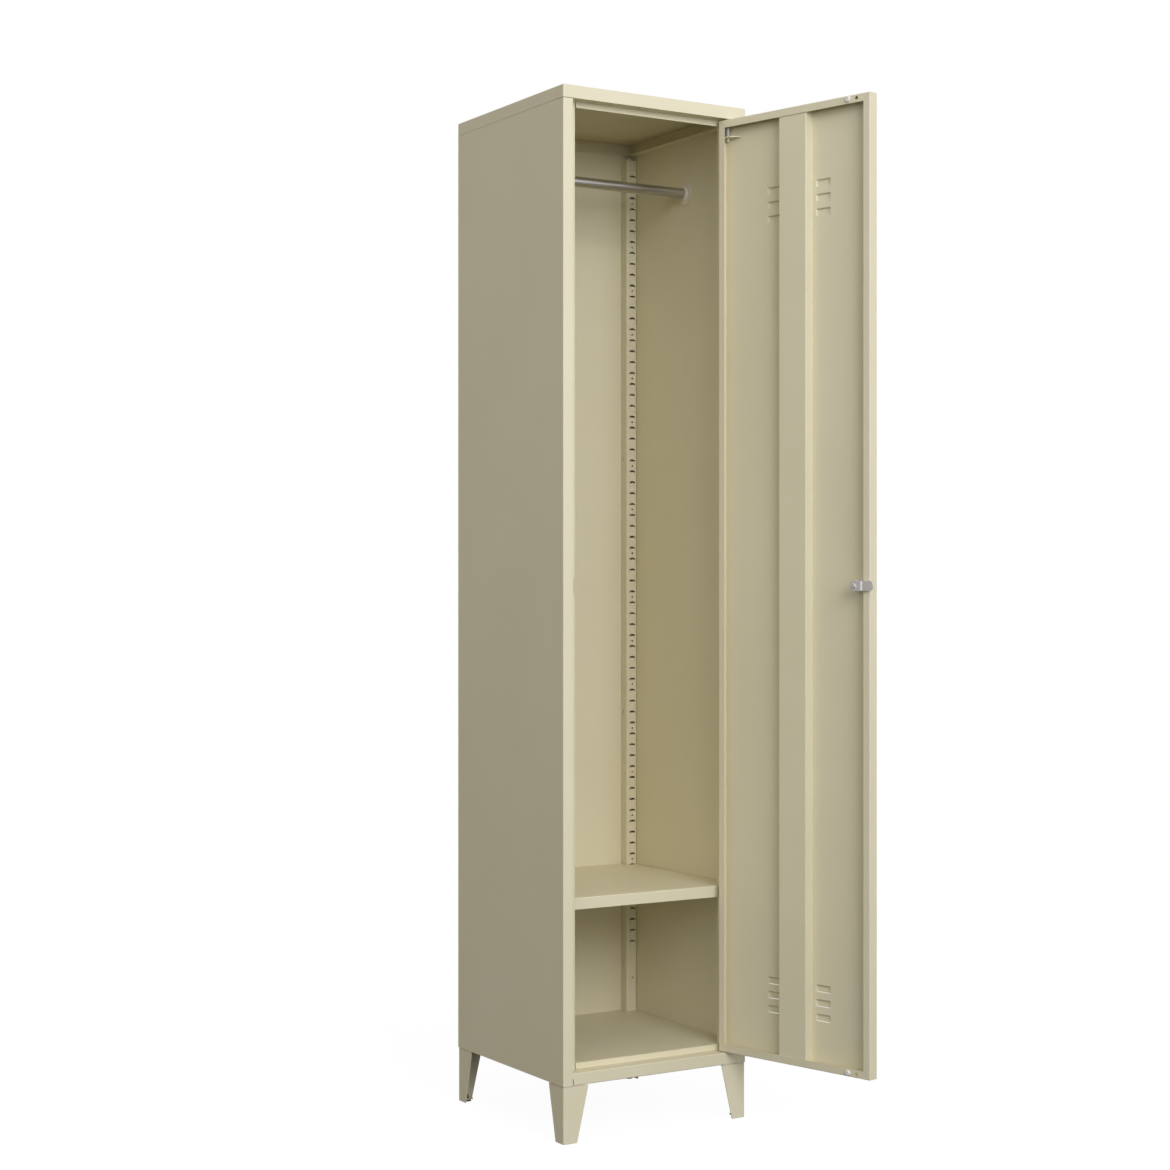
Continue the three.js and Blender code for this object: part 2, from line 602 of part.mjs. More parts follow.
function lockNut() {
  const low = SHEET + GAP;
  const nut = extrude(hexagonAcross(22), 'y', low, low + 4);
  return nut.subtract(cylinder(LOCK_BODY.radius + GAP, 'y', [LOCK.x, 0, LOCK.z], low - 1, low + 5, 24));
}

function hexagonAcross(acrossFlats) {
  return hexagon(acrossFlats, LOCK.z, LOCK.x);
}

// A cranked cam with rounded ends. Its tongue points at the left stile.
function lockCam() {
  const { width, thickness, base, tongue, tip, crank } = CAM;
  const half = width / 2;
  const outline = roundedShape([
    [LOCK.z - half, tip], [LOCK.z + half, tip], [LOCK.z + half, LOCK.x + half], [LOCK.z - half, LOCK.x + half],
  ], [half - 0.3, half - 0.3, half - 1.5, half - 1.5]);
  const blank = extrude(outline, 'y', tongue - 1, base + thickness + 1, 6);
  const side = roundedShape([
    [LOCK.x + half + 1, base], [LOCK.x + half + 1, base + thickness], [crank - 1, base + thickness],
    [crank - 2.4, tongue + thickness], [tip - 1, tongue + thickness], [tip - 1, tongue], [crank - 2, tongue],
    [crank - 0.6, base],
  ], 0);
  const bent = blank.intersect(extrude(side, 'z', LOCK.z - half - 1, LOCK.z + half + 1));
  return bent.subtract(cylinder(2.3, 'y', [LOCK.x, 0, LOCK.z], base - 2, base + thickness + 1, 12));
}

function camScrew() {
  const low = CAM.base + CAM.thickness + GAP;
  const screw = turned([
    [0, low - 1.9], [2, low - 1.9], [2, low], [4.6, low], [4.6, low + 1.2], [3.6, low + 2], [0, low + 2],
  ], 'y', [LOCK.x, 0, LOCK.z], 16);
  const recess = [box(LOCK.x - 2.4, LOCK.x + 2.4, low + 0.8, low + 3, LOCK.z - 0.5, LOCK.z + 0.5),
    box(LOCK.x - 0.5, LOCK.x + 0.5, low + 0.8, low + 3, LOCK.z - 2.4, LOCK.z + 2.4)];
  return cut(screw, recess);
}

// ---------------------------------------------------------------- hinge hardware
const BRACKET = { left: 320, top: 1745.5, sheet: 1.5, drop: 14, back: 18, taper: 14 };

// A tab across the pin, folded down against the door's hinge side and narrowing at its free end.
function hingeBracket() {
  const { left, top, sheet, drop, back, taper } = BRACKET;
  const foot = DOOR.right - SHEET - GAP;
  const front = SHEET + GAP;
  const section = foldedSheet([[top, left], [top, foot], [top - drop, foot]], sheet, 1);
  const corner = new THREE.Shape();
  corner.moveTo(left - 1, front + 4);
  corner.lineTo(left - 1, back + 1);
  corner.lineTo(left + taper, back + 1);
  corner.closePath();
  return cut(extrude(section, 'y', front, back), [
    extrude(corner, 'z', top - 3, top + 1),
    cylinder(PIN.hole, 'z', [HINGE.x, HINGE.y, 0], top - 4, top + 1, 16),
  ]);
}

function upperPin() {
  const { radius, low, high, collar, collarLow, collarHigh } = PIN;
  return turned([
    [0, low], [1.8, low + 0.4], [radius, low + 2], [radius, collarLow], [collar, collarLow], [collar, collarHigh],
    [radius, collarHigh], [radius, high - 1], [radius - 1, high], [0, high],
  ], 'z', [HINGE.x, HINGE.y, 0], 12);
}

function hingeSpring() {
  const low = BRACKET.top + GAP;
  const high = PIN.collarLow - GAP;
  const inner = PIN.radius + GAP;
  return turned([
    [inner, low], [inner + 1.2, low], [inner + 1.2, high], [inner, high], [inner, low],
  ], 'z', [HINGE.x, HINGE.y, 0], 12);
}

function lowerPin() {
  const seat = DOOR.bottom + SHEET + GAP;
  return turned([
    [0, 106], [2, 106], [PIN.radius, 107.5], [PIN.radius, seat], [6, seat], [5, seat + 2.2], [0, seat + 2.4],
  ], 'z', [HINGE.x, HINGE.y, 0], 12);
}

function lowerBush() {
  const inner = PIN.radius + 0.3;
  return turned([
    [inner, 112], [4.6, 112], [4.6, SILL + 0.2], [7.5, SILL + 0.2], [7.5, SILL + 0.9], [inner, SILL + 0.9],
    [inner, 112],
  ], 'z', [HINGE.x, HINGE.y, 0], 12);
}

// A soft dome pressed into the flange, with a stem behind it.
function bumper(z) {
  const face = DOOR.depth + GAP;
  return turned([
    [0, face - 3.4], [2.2, face - 3.4], [2.7, face], [5.5, face], [5.2, face + 1.8], [3.4, face + 3.3],
    [0, face + 3],
  ], 'y', [BUMPER.x, 0, z], 16);
}

add('door_panel', cream, doorPanel(), doorGroup);
add('door_stiffener', cream, doorStiffener(), doorGroup);
add('upper_hinge_bracket', cream, hingeBracket(), doorGroup);
add('upper_hinge_pin', zinc, upperPin(), doorGroup);
add('hinge_spring', zinc, hingeSpring(), doorGroup);
add('lower_hinge_pin', zinc, lowerPin(), doorGroup);
add('lower_hinge_bush', whiteRubber, lowerBush());
add('bumper_top', whiteRubber, bumper(FLANGE_CENTRES.top), doorGroup);
add('bumper_bottom', whiteRubber, bumper(FLANGE_CENTRES.bottom), doorGroup);
add('lock_housing', zinc, lockHousing(), doorGroup);
add('lock_plug', brass, lockPlug(), doorGroup);
add('lock_nut', zinc, lockNut(), doorGroup);
add('lock_cam', zinc, lockCam(), doorGroup);
add('cam_screw', zinc, camScrew(), doorGroup);

// Swing the door open about its pins.
const swing = new THREE.Group();
swing.position.set(HINGE.x, HINGE.y, 0);
swing.rotation.z = THREE.MathUtils.degToRad(DOOR_OPEN);
doorGroup.position.set(-HINGE.x, -HINGE.y, 0);
swing.add(doorGroup);
group.add(swing);

// Stand the middle of the footprint, open door included, on the origin.
const footprint = new THREE.Box3().setFromObject(group, true);
group.position.set(
  -(footprint.min.x + footprint.max.x) / 2,
  -(footprint.min.y + footprint.max.y) / 2,
  -footprint.min.z,
);

export default group;
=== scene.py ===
"""A single-door steel locker cabinet with its door open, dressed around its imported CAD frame.

Lengths below are in millimetres in the cabinet's own layout: X to the right, Y to the back,
the outer front-left corner of the body over (0, 0, 0), and the door laid out closed. SHIFT
moves them into the frame, and DOOR_SWING also turns the door's pieces to where it stands open.
"""
import json
import math

import bmesh
import bpy
from mathutils import Matrix, Vector


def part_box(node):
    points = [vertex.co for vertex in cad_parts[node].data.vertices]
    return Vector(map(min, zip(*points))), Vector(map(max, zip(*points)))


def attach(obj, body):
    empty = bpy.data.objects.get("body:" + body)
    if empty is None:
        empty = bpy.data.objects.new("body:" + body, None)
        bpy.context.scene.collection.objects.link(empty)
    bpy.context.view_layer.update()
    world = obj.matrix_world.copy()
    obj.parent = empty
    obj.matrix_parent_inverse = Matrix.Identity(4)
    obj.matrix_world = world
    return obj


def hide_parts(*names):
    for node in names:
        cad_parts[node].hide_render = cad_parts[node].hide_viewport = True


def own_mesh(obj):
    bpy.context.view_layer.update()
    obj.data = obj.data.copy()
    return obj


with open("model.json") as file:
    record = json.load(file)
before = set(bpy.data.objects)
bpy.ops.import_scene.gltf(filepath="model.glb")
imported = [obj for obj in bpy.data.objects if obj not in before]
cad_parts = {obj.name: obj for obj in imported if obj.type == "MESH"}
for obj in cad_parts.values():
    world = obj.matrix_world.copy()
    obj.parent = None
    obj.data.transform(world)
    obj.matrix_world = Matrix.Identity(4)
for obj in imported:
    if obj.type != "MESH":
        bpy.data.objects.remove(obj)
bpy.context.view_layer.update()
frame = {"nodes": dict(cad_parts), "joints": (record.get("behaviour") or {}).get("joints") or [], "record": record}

NODES = frame["nodes"]
JOINTS = {joint["name"]: joint for joint in frame["joints"]}

# ---------------------------------------------------------------- the frame's own measures
MM = 0.001
CAP_LOW, CAP_HIGH = (Vector(corner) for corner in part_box("top_cap"))
ORIGIN = Vector((CAP_LOW.x, CAP_LOW.y, 0.0))
WIDTH = (CAP_HIGH.x - CAP_LOW.x) / MM
DEPTH = (CAP_HIGH.y - CAP_LOW.y) / MM
SHIFT = Matrix.Translation(ORIGIN) @ Matrix.Scale(MM, 4)


def in_cabinet(point):
    """A point of the frame, in the cabinet's millimetres."""
    return (Vector(point) - ORIGIN) / MM


HINGE = in_cabinet(JOINTS["door_hinge"]["pos_m"])
DOOR_OPEN = -math.radians(JOINTS["door_hinge"]["range_deg"][0])
HINGE_AXIS = Vector((HINGE.x, HINGE.y, 0.0))
DOOR_SWING = (SHIFT @ Matrix.Translation(HINGE_AXIS) @ Matrix.Rotation(DOOR_OPEN, 4, "Z")
              @ Matrix.Translation(-HINGE_AXIS))
TO_CLOSED = DOOR_SWING.inverted()


def closed_box(node):
    """Lowest and highest corner of a door node, in millimetres with the door closed."""
    points = [TO_CLOSED @ vertex.co for vertex in NODES[node].data.vertices]
    low = Vector(min(p[i] for p in points) for i in range(3))
    high = Vector(max(p[i] for p in points) for i in range(3))
    return low, high


def cabinet_box(node):
    low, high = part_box(node)
    return in_cabinet(low), in_cabinet(high)


# ---------------------------------------------------------------- camera and light
CAMERA_AT = Vector((-1880, -3159, 950))
CAMERA_AZIMUTH = math.radians(31.33)
LENS = 66.75
AMBIENT, AMBIENT_COLOUR = 0.32, (1.0, 0.98, 0.95)
# Soft lights at infinity: (direction towards it, how focused it is, strength, colour).
LIGHTS = [
    ((-0.05, -1.0, 0.05), 1.0, 1.0, (0.965, 1.0, 1.15)),
    ((-1.0, -0.35, 0.05), 2.0, 0.30, (1.04, 1.0, 1.0)),
]
KEY_LIGHT = {"at": (-0.5, -3.3, 2.2), "target": (0, 0, 1.1), "size": 1.6, "power": 50,
             "colour": (0.965, 0.99, 1.15)}
# How bright the floor shines to the camera, what it adds from the lights, and what it sends back up.
FLOOR_GLOW, FLOOR_SHADE, FLOOR_BOUNCE = 0.955, 0.08, 0.14


def add_camera():
    camera = bpy.data.cameras.new("camera")
    camera.lens = LENS
    camera.sensor_width = 36
    camera.clip_start = 0.05
    camera.clip_end = 100
    eye = bpy.data.objects.new("camera", camera)
    eye.location = SHIFT @ CAMERA_AT
    eye.rotation_euler = (math.pi / 2, 0, -CAMERA_AZIMUTH)
    bpy.context.scene.collection.objects.link(eye)
    bpy.context.scene.camera = eye


def add_area_light(name, at, target, size, power, colour):
    lamp = bpy.data.lights.new(name, "AREA")
    lamp.shape = "SQUARE"
    lamp.size = size
    lamp.energy = power
    lamp.color = colour
    light = bpy.data.objects.new(name, lamp)
    light.location = at
    light.rotation_euler = (Vector(target) - Vector(at)).to_track_quat("-Z", "Y").to_euler()
    bpy.context.scene.collection.objects.link(light)


def camera_only(tree, seen, unseen):
    """Mixes two shaders, so that the camera sees one and the light comes from the other."""
    path = tree.nodes.new("ShaderNodeLightPath")
    mix = tree.nodes.new("ShaderNodeMixShader")
    tree.links.new(path.outputs["Is Camera Ray"], mix.inputs["Fac"])
    tree.links.new(unseen, mix.inputs[1])
    tree.links.new(seen, mix.inputs[2])
    return mix.outputs[0]


def add_world():
    """A white backdrop for the camera, and a tent of soft lights that the camera doesn't see."""
    world = bpy.data.worlds.new("studio")
    bpy.context.scene.world = world
    world.use_nodes = True
    tree = world.node_tree
    tree.nodes.clear()

    def background(colour, strength):
        node = tree.nodes.new("ShaderNodeBackground")
        node.inputs["Color"].default_value = (*colour, 1)
        node.inputs["Strength"].default_value = strength
        return node

    def lobe(direction, focus, strength, colour):
        """Light that falls off from its own direction as a power of the cosine."""
        facing = tree.nodes.new("ShaderNodeVectorMath")
        facing.operation = "DOT_PRODUCT"
        facing.inputs[1].default_value = Vector(direction).normalized()
        tree.links.new(coordinates.outputs["Generated"], facing.inputs[0])
        value = facing.outputs["Value"]
        for operation, operand in (("MAXIMUM", 0.0), ("POWER", focus), ("MULTIPLY", strength)):
            step = tree.nodes.new("ShaderNodeMath")
            step.operation = operation
            tree.links.new(value, step.inputs[0])
            step.inputs[1].default_value = operand
            value = step.outputs[0]
        node = background(colour, strength)
        tree.links.new(value, node.inputs["Strength"])
        return node

    coordinates = tree.nodes.new("ShaderNodeTexCoord")
    light = background(AMBIENT_COLOUR, AMBIENT)
    for setting in LIGHTS:
        both = tree.nodes.new("ShaderNodeAddShader")
        tree.links.new(light.outputs[0], both.inputs[0])
        tree.links.new(lobe(*setting).outputs[0], both.inputs[1])
        light = both
    backdrop = background((1, 1, 1), 1.0)
    output = tree.nodes.new("ShaderNodeOutputWorld")
    tree.links.new(camera_only(tree, backdrop.outputs[0], light.outputs[0]), output.inputs["Surface"])


def add_floor():
    bpy.ops.mesh.primitive_circle_add(vertices=64, radius=14, fill_type="NGON", location=(0, 0, 0))
    floor = bpy.context.object
    floor.name = "studio_floor"
    material = bpy.data.materials.new("studio_floor")
    material.use_nodes = True
    tree = material.node_tree
    tree.nodes.clear()

    def grey_diffuse(level):
        node = tree.nodes.new("ShaderNodeBsdfDiffuse")
        node.inputs["Color"].default_value = (level, level, level, 1)
        return node

    pale = grey_diffuse(FLOOR_BOUNCE)
    glow = tree.nodes.new("ShaderNodeEmission")
    glow.inputs["Color"].default_value = (1, 1, 1, 1)
    glow.inputs["Strength"].default_value = FLOOR_GLOW
    faint = grey_diffuse(FLOOR_SHADE)
    both = tree.nodes.new("ShaderNodeAddShader")
    tree.links.new(glow.outputs[0], both.inputs[0])
    tree.links.new(faint.outputs[0], both.inputs[1])
    output = tree.nodes.new("ShaderNodeOutputMaterial")
    tree.links.new(camera_only(tree, both.outputs[0], pale.outputs[0]), output.inputs["Surface"])
    floor.data.materials.append(material)


add_camera()
add_world()
add_floor()
add_area_light("key", **KEY_LIGHT)
bpy.context.scene.view_settings.view_transform = "Standard"


# ---------------------------------------------------------------- materials
def node_material(name):
    material = bpy.data.materials.new(name)
    material.use_nodes = True
    tree = material.node_tree
    shader = tree.nodes["Principled BSDF"]
    coordinates = tree.nodes.new("ShaderNodeTexCoord")
    return material, tree, shader, coordinates.outputs["Object"]


def noise(tree, vector, scale, detail=2.0, stretch=None):
    """A noise pattern at a scale per metre, stretched by a factor along each axis if given."""
    if stretch:
        mapping = tree.nodes.new("ShaderNodeMapping")
        mapping.inputs["Scale"].default_value = stretch
        tree.links.new(vector, mapping.inputs["Vector"])
        vector = mapping.outputs["Vector"]
    texture = tree.nodes.new("ShaderNodeTexNoise")
    texture.inputs["Scale"].default_value = scale
    texture.inputs["Detail"].default_value = detail
    tree.links.new(vector, texture.inputs["Vector"])
    return texture.outputs["Fac"]


def remap(tree, value, low, high):
    """Spreads the middle of a noise pattern's range over low to high."""
    node = tree.nodes.new("ShaderNodeMapRange")
    node.inputs["From Min"].default_value = 0.3
    node.inputs["From Max"].default_value = 0.7
    node.inputs["To Min"].default_value = low
    node.inputs["To Max"].default_value = high
    tree.links.new(value, node.inputs["Value"])
    return node.outputs["Result"]


def blend_colours(tree, factor, first, second):
    mix = tree.nodes.new("ShaderNodeMix")
    mix.data_type = "RGBA"
    mix.inputs["A"].default_value = (*first, 1)
    mix.inputs["B"].default_value = (*second, 1)
    tree.links.new(factor, mix.inputs["Factor"])
    return mix.outputs["Result"]


def bump(tree, shader, height, strength, distance, before=None):
    node = tree.nodes.new("ShaderNodeBump")
    node.inputs["Strength"].default_value = strength
    node.inputs["Distance"].default_value = distance
    tree.links.new(height, node.inputs["Height"])
    if before:
        tree.links.new(before, node.inputs["Normal"])
    tree.links.new(node.outputs["Normal"], shader.inputs["Normal"])
    return node.outputs["Normal"]


def powder_coat():
    """Satin powder coat: a fine orange peel over faint waves in the sheet, barely uneven in tone."""
    material, tree, shader, place = node_material("cream_powder_coat")
    patches = remap(tree, noise(tree, place, 5.5, 3), 0, 1)
    tree.links.new(blend_colours(tree, patches, (0.728, 0.664, 0.440), (0.746, 0.684, 0.460)),
                   shader.inputs["Base Color"])
    tree.links.new(remap(tree, noise(tree, place, 160, 3), 0.36, 0.47), shader.inputs["Roughness"])
    waves = bump(tree, shader, noise(tree, place, 9, 1), 0.05, 0.003)
    bump(tree, shader, noise(tree, place, 950, 2), 0.22, 0.00012, before=waves)
    shader.inputs["Specular IOR Level"].default_value = 0.42
    return material


def steel(name, dark, light, roughness, stretch, scale=260):
    """Bare or plated steel, with fine marks drawn out along the directions that stretch is small in."""
    material, tree, shader, place = node_material(name)
    marks = noise(tree, place, scale, 4, stretch)
    tone = blend_colours(tree, remap(tree, marks, 0, 1), dark, light)
    tree.links.new(tone, shader.inputs["Base Color"])
    tree.links.new(remap(tree, marks, roughness[0], roughness[1]), shader.inputs["Roughness"])
    bump(tree, shader, marks, 0.18, 0.00005)
    shader.inputs["Metallic"].default_value = 1.0
    return material


def plastic(name, first, second, roughness):
    """Moulded plastic or rubber with a fine grain."""
    material, tree, shader, place = node_material(name)
    tree.links.new(blend_colours(tree, remap(tree, noise(tree, place, 60), 0, 1), first, second),
                   shader.inputs["Base Color"])
    grain = noise(tree, place, 700)
    tree.links.new(remap(tree, grain, roughness[0], roughness[1]), shader.inputs["Roughness"])
    bump(tree, shader, grain, 0.15, 0.0001)
    return material


MATERIALS = {
    "cream_powder_coat": powder_coat(),
    "rod_steel": steel("rod_steel", (0.48, 0.46, 0.43), (0.62, 0.60, 0.56), (0.30, 0.42),
                       (0.04, 1, 1)),
    "zinc_steel": steel("zinc_steel", (0.76, 0.74, 0.71), (0.85, 0.83, 0.80), (0.56, 0.70),
                        (1, 1, 1), 420),
    "lock_brass": steel("lock_brass", (0.50, 0.40, 0.20), (0.62, 0.52, 0.30), (0.26, 0.40),
                        (1, 1, 1), 420),
    "cream_plastic": plastic("cream_plastic", (0.72, 0.66, 0.51), (0.76, 0.71, 0.56), (0.36, 0.46)),
    "white_rubber": plastic("white_rubber", (0.74, 0.71, 0.64), (0.79, 0.77, 0.71), (0.48, 0.60)),
    "dark_plastic": plastic("dark_plastic", (0.055, 0.047, 0.036), (0.085, 0.075, 0.06), (0.45, 0.6)),
}
SLOTS = {part["node"]: part["material_slot"] for part in frame["record"]["subparts"]}
BODIES = frame["record"]["behaviour"]["bodies"]
BODY_OF = {node: body for body, nodes in BODIES.items() for node in nodes}


# ---------------------------------------------------------------- mesh tools
SHARP = math.radians(38)


def as_piece(mesh, *nodes):
    """Shows a mesh, given in the frame, in place of CAD nodes, on the first one's body and in its slot's material.
    """
    first = nodes[0]
    for polygon in mesh.polygons:
        polygon.use_smooth = True
    mesh.set_sharp_from_angle(angle=SHARP)
    piece = bpy.data.objects.new(f"{first}_fine", mesh)
    bpy.context.scene.collection.objects.link(piece)
    weighted = piece.modifiers.new("even_shading", "WEIGHTED_NORMAL")
    weighted.keep_sharp = True
    weighted.weight = 80
    mesh.materials.clear()
    mesh.materials.append(MATERIALS[SLOTS[first]])
    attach(piece, BODY_OF[first])
    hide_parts(*nodes)
    return piece


def mesh_from(bm, matrix=Matrix.Identity(4)):
    bm.transform(matrix)
    bmesh.ops.recalc_face_normals(bm, faces=bm.faces)
    mesh = bpy.data.meshes.new("piece")
    bm.to_mesh(mesh)
    bm.free()
    return mesh


def soften(bm, width, segments=2, angle=math.radians(40)):
    """Rounds every edge sharper than an angle."""
    bmesh.ops.recalc_face_normals(bm, faces=bm.faces)
    edges = [edge for edge in bm.edges if len(edge.link_faces) == 2 and edge.calc_face_angle(0) > angle]
    bmesh.ops.bevel(bm, geom=edges, offset=width, segments=segments, profile=0.5, affect="EDGES",
                    clamp_overlap=True)


def refined(node, width, segments=2):
    """The CAD node's own shape with its flat facets joined and its edges softened."""
    bm = bmesh.new()
    bm.from_mesh(NODES[node].data)
    bmesh.ops.remove_doubles(bm, verts=bm.verts, dist=1e-6)
    bmesh.ops.join_triangles(bm, faces=bm.faces, angle_face_threshold=math.radians(0.4),
                             angle_shape_threshold=math.pi)
    soften(bm, width * MM, segments)
    as_piece(mesh_from(bm), node)


def bridge(bm, first, second, closed=True):
    """Adds the faces between two rows of as many points, which are rings if closed."""
    count = len(first)
    for i in range(count if closed else count - 1):
        j = (i + 1) % count
        bm.faces.new([first[i], first[j], second[j], second[i]])


def quarter_turn(steps):
    return [math.pi / 2 * i / steps for i in range(steps + 1)]


TURN_TO = {"x": Matrix.Rotation(math.pi / 2, 4, "Y"), "y": Matrix.Rotation(-math.pi / 2, 4, "X"),
           "z": Matrix.Identity(4)}


def lathe_mesh(bm, profile, centre, axis, segments=48):
    """Adds a body of revolution to bm, from (radius, place along the axis) points."""
    place = Matrix.Translation(centre) @ TURN_TO[axis]
    rings = []
    for radius, height in profile:
        if radius < 1e-6:
            rings.append([bm.verts.new(place @ Vector((0, 0, height)))])
            continue
        rings.append([bm.verts.new(place @ Vector((radius * math.cos(a), radius * math.sin(a), height)))
                      for a in (2 * math.pi * i / segments for i in range(segments))])
    for low, high in zip(rings, rings[1:]):
        for i in range(segments):
            j = (i + 1) % segments
            corners = [low[i % len(low)], low[j % len(low)], high[j % len(high)], high[i % len(high)]]
            bm.faces.new(list(dict.fromkeys(corners)))
    return rings


def closed_lathe(bm, profile, centre, axis, segments):
    """The same, for a profile that closes on itself away from the axis."""
    rings = lathe_mesh(bm, profile, centre, axis, segments)
    bridge(bm, rings[-1], rings[0])


def turned_piece(node, profile, centre, axis, segments, matrix, closed=False):
    """Shows a body of revolution in place of a CAD node."""
    bm = bmesh.new()
    (closed_lathe if closed else lathe_mesh)(bm, profile, centre, axis, segments)
    as_piece(mesh_from(bm, matrix), node)


def rounded(points, radius, steps):
    """A profile with each inner corner rounded."""
    result = [points[0]]
    for before, here, after in zip(points, points[1:], points[2:]):
        a, b, c = Vector(before), Vector(here), Vector(after)
        reach = min(radius, (a - b).length * 0.45, (c - b).length * 0.45)
        start = b + (a - b).normalized() * reach
        end = b + (c - b).normalized() * reach
        for i in range(steps + 1):
            t = i / steps
            point = start * (1 - t) ** 2 + b * 2 * t * (1 - t) + end * t ** 2
            result.append((point.x, point.y))
    result.append(points[-1])
    return result


def circle(x, y, radius, count):
    return [(x + radius * math.cos(a), y + radius * math.sin(a))
            for a in (2 * math.pi * i / count for i in range(count))]


def extruded(bm, outline, start, end):
    """Adds a closed prism to bm: an outline in XY between two heights."""
    low = [bm.verts.new((x, y, start)) for x, y in outline]
    high = [bm.verts.new((x, y, end)) for x, y in outline]
    bm.faces.new(low)
    bm.faces.new(high)
    bridge(bm, low, high)


def fold_arc(before, here, after, thickness, bend):
    """One fold of a sheet, at a corner of its visible face.

    Gives the directions into and out of it, its signed angle and the sign alone, and the radius,
    start and centre of its arc.
    """
    into, out = (here - before).normalized(), (after - here).normalized()
    turn = math.atan2(into.x * out.y - into.y * out.x, into.dot(out))
    side = math.copysign(1, turn)
    radius = bend + thickness if turn > 0 else bend
    start = here - into * radius * math.tan(abs(turn) / 2)
    centre = start + Vector((-into.y, into.x)) * radius * side
    return into, out, turn, side, radius, start, centre


def folded(path, thickness, bend, steps):
    """The outline of a folded sheet. The path is its visible face and the sheet lies to its left."""
    corners = [Vector(point) for point in path]
    front, back = [corners[0]], []
    first = (corners[1] - corners[0]).normalized()
    back.append(corners[0] + Vector((-first.y, first.x)) * thickness)
    for three in zip(corners, corners[1:], corners[2:]):
        _, _, turn, side, radius, start, centre = fold_arc(*three, thickness, bend)
        other = radius - thickness * side
        for i in range(steps + 1):
            arm = (start - centre).normalized()
            arm.rotate(Matrix.Rotation(turn * i / steps, 2))
            front.append(centre + arm * radius)
            back.append(centre + arm * other)
    last = (corners[-1] - corners[-2]).normalized()
    front.append(corners[-1])
    back.append(corners[-1] + Vector((-last.y, last.x)) * thickness)
    return [tuple(point) for point in front + back[::-1]]


class Fold:
    """A sheet folded along a path. The path is its visible face and the sheet lies to its left.

    Points of the flat blank are (place along the blank, depth into the sheet from that face).
    """
    STEPS = 6

    def __init__(self, path, thickness, bend):
        self.parts = []
        self.creases = []
        points = [Vector(point) for point in path]
        at, start = 0.0, points[0]
        for three in zip(points, points[1:], points[2:]):
            into, out, turn, side, radius, corner, centre = fold_arc(*three, thickness, bend)
            straight = (corner - start).length
            self.parts.append((at, straight, start, into, None))
            at += straight
            arc = abs(turn) * (bend + thickness / 2)
            self.parts.append((at, arc, corner - centre, centre, (turn, radius, side)))
            self.creases += [at + arc * i / self.STEPS for i in range(self.STEPS + 1)]
            at += arc
            start = three[1] + out * radius * math.tan(abs(turn) / 2)
        last = (points[-1] - points[-2]).normalized()
        self.parts.append((at, (points[-1] - start).length, start, last, None))
        self.length = at + self.parts[-1][1]

    def place(self, along, depth):
        """Where a point of the blank lies once it is folded."""
        for at, length, first, second, arc in self.parts:
            if along <= at + length + 1e-6 or at + length >= self.length - 1e-6:
                break
        if arc is None:
            return first + second * (along - at) + Vector((-second.y, second.x)) * depth
        turn, radius, side = arc
        arm = first.normalized()
        arm.rotate(Matrix.Rotation(turn * (along - at) / length, 2))
        return second + arm * (radius - side * depth)

    def after_corner(self, corner):
        """The place on the blank where the flat after a corner's arc starts."""
        return self.parts[2 * corner][0]

    def fold(self, bm, reach=lambda *point: Vector(point)):
        """Folds a flat blank in bm, laid out as (along, height, depth), into (x, y) at that height."""
        for crease in self.creases:
            bmesh.ops.bisect_plane(bm, geom=[*bm.verts, *bm.edges, *bm.faces], dist=1e-5,
                                   plane_co=(crease, 0, 0), plane_no=(1, 0, 0))
        for vertex in bm.verts:
            x, y = self.place(vertex.co.x, vertex.co.z)
            vertex.co = reach(x, y, vertex.co.y)


def loop_edges(bm, ring):
    return [bm.edges.get((a, b)) or bm.edges.new((a, b)) for a, b in zip(ring, ring[1:] + ring[:1])]


def plate(bm, outline, holes, low, high):
    """Adds a closed flat plate to bm, in XY, between two heights."""
    bottom, top = [], []
    for loop in [outline, *holes]:
        lower = [bm.verts.new((x, y, low)) for x, y in loop]
        upper = [bm.verts.new((x, y, high)) for x, y in loop]
        bridge(bm, lower, upper)
        bottom += loop_edges(bm, lower)
        top += loop_edges(bm, upper)
    for edges in (bottom, top):
        bmesh.ops.triangle_fill(bm, use_beauty=True, edges=edges, normal=(0, 0, 1))


def to_corner(bm, end, side):
    """Mirrors a piece laid out at the front left corner to one of the four corners."""
    for vertex in bm.verts:
        if side == "right":
            vertex.co.x = WIDTH - vertex.co.x
        if end == "rear":
            vertex.co.y = DEPTH - vertex.co.y


def carved(mesh, cutters):
    """A mesh with the bodies in another bmesh taken out of it."""
    cutter_mesh = mesh_from(cutters)
    block = bpy.data.objects.new("block", mesh)
    tool = bpy.data.objects.new("tool", cutter_mesh)
    for item in (block, tool):
        bpy.context.scene.collection.objects.link(item)
    cut = block.modifiers.new("cut", "BOOLEAN")
    cut.object = tool
    cut.operation = "DIFFERENCE"
    cut.solver = "EXACT"
    depsgraph = bpy.context.evaluated_depsgraph_get()
    result = bpy.data.meshes.new_from_object(block.evaluated_get(depsgraph))
    for item in (block, tool):
        bpy.data.objects.remove(item)
    return result


# ---------------------------------------------------------------- sheets that keep the CAD's shape
for sheet_node in ("side_panel_left", "side_panel_right", "back_panel", "top_cap", "top_rail",
                   "bottom_rail", "floor_panel", "upper_hinge_bracket"):
    refined(sheet_node, width=0.2)
for clip_node in (node for node in NODES if node.startswith("shelf_clip_")):
    refined(clip_node, width=0.35, segments=3)


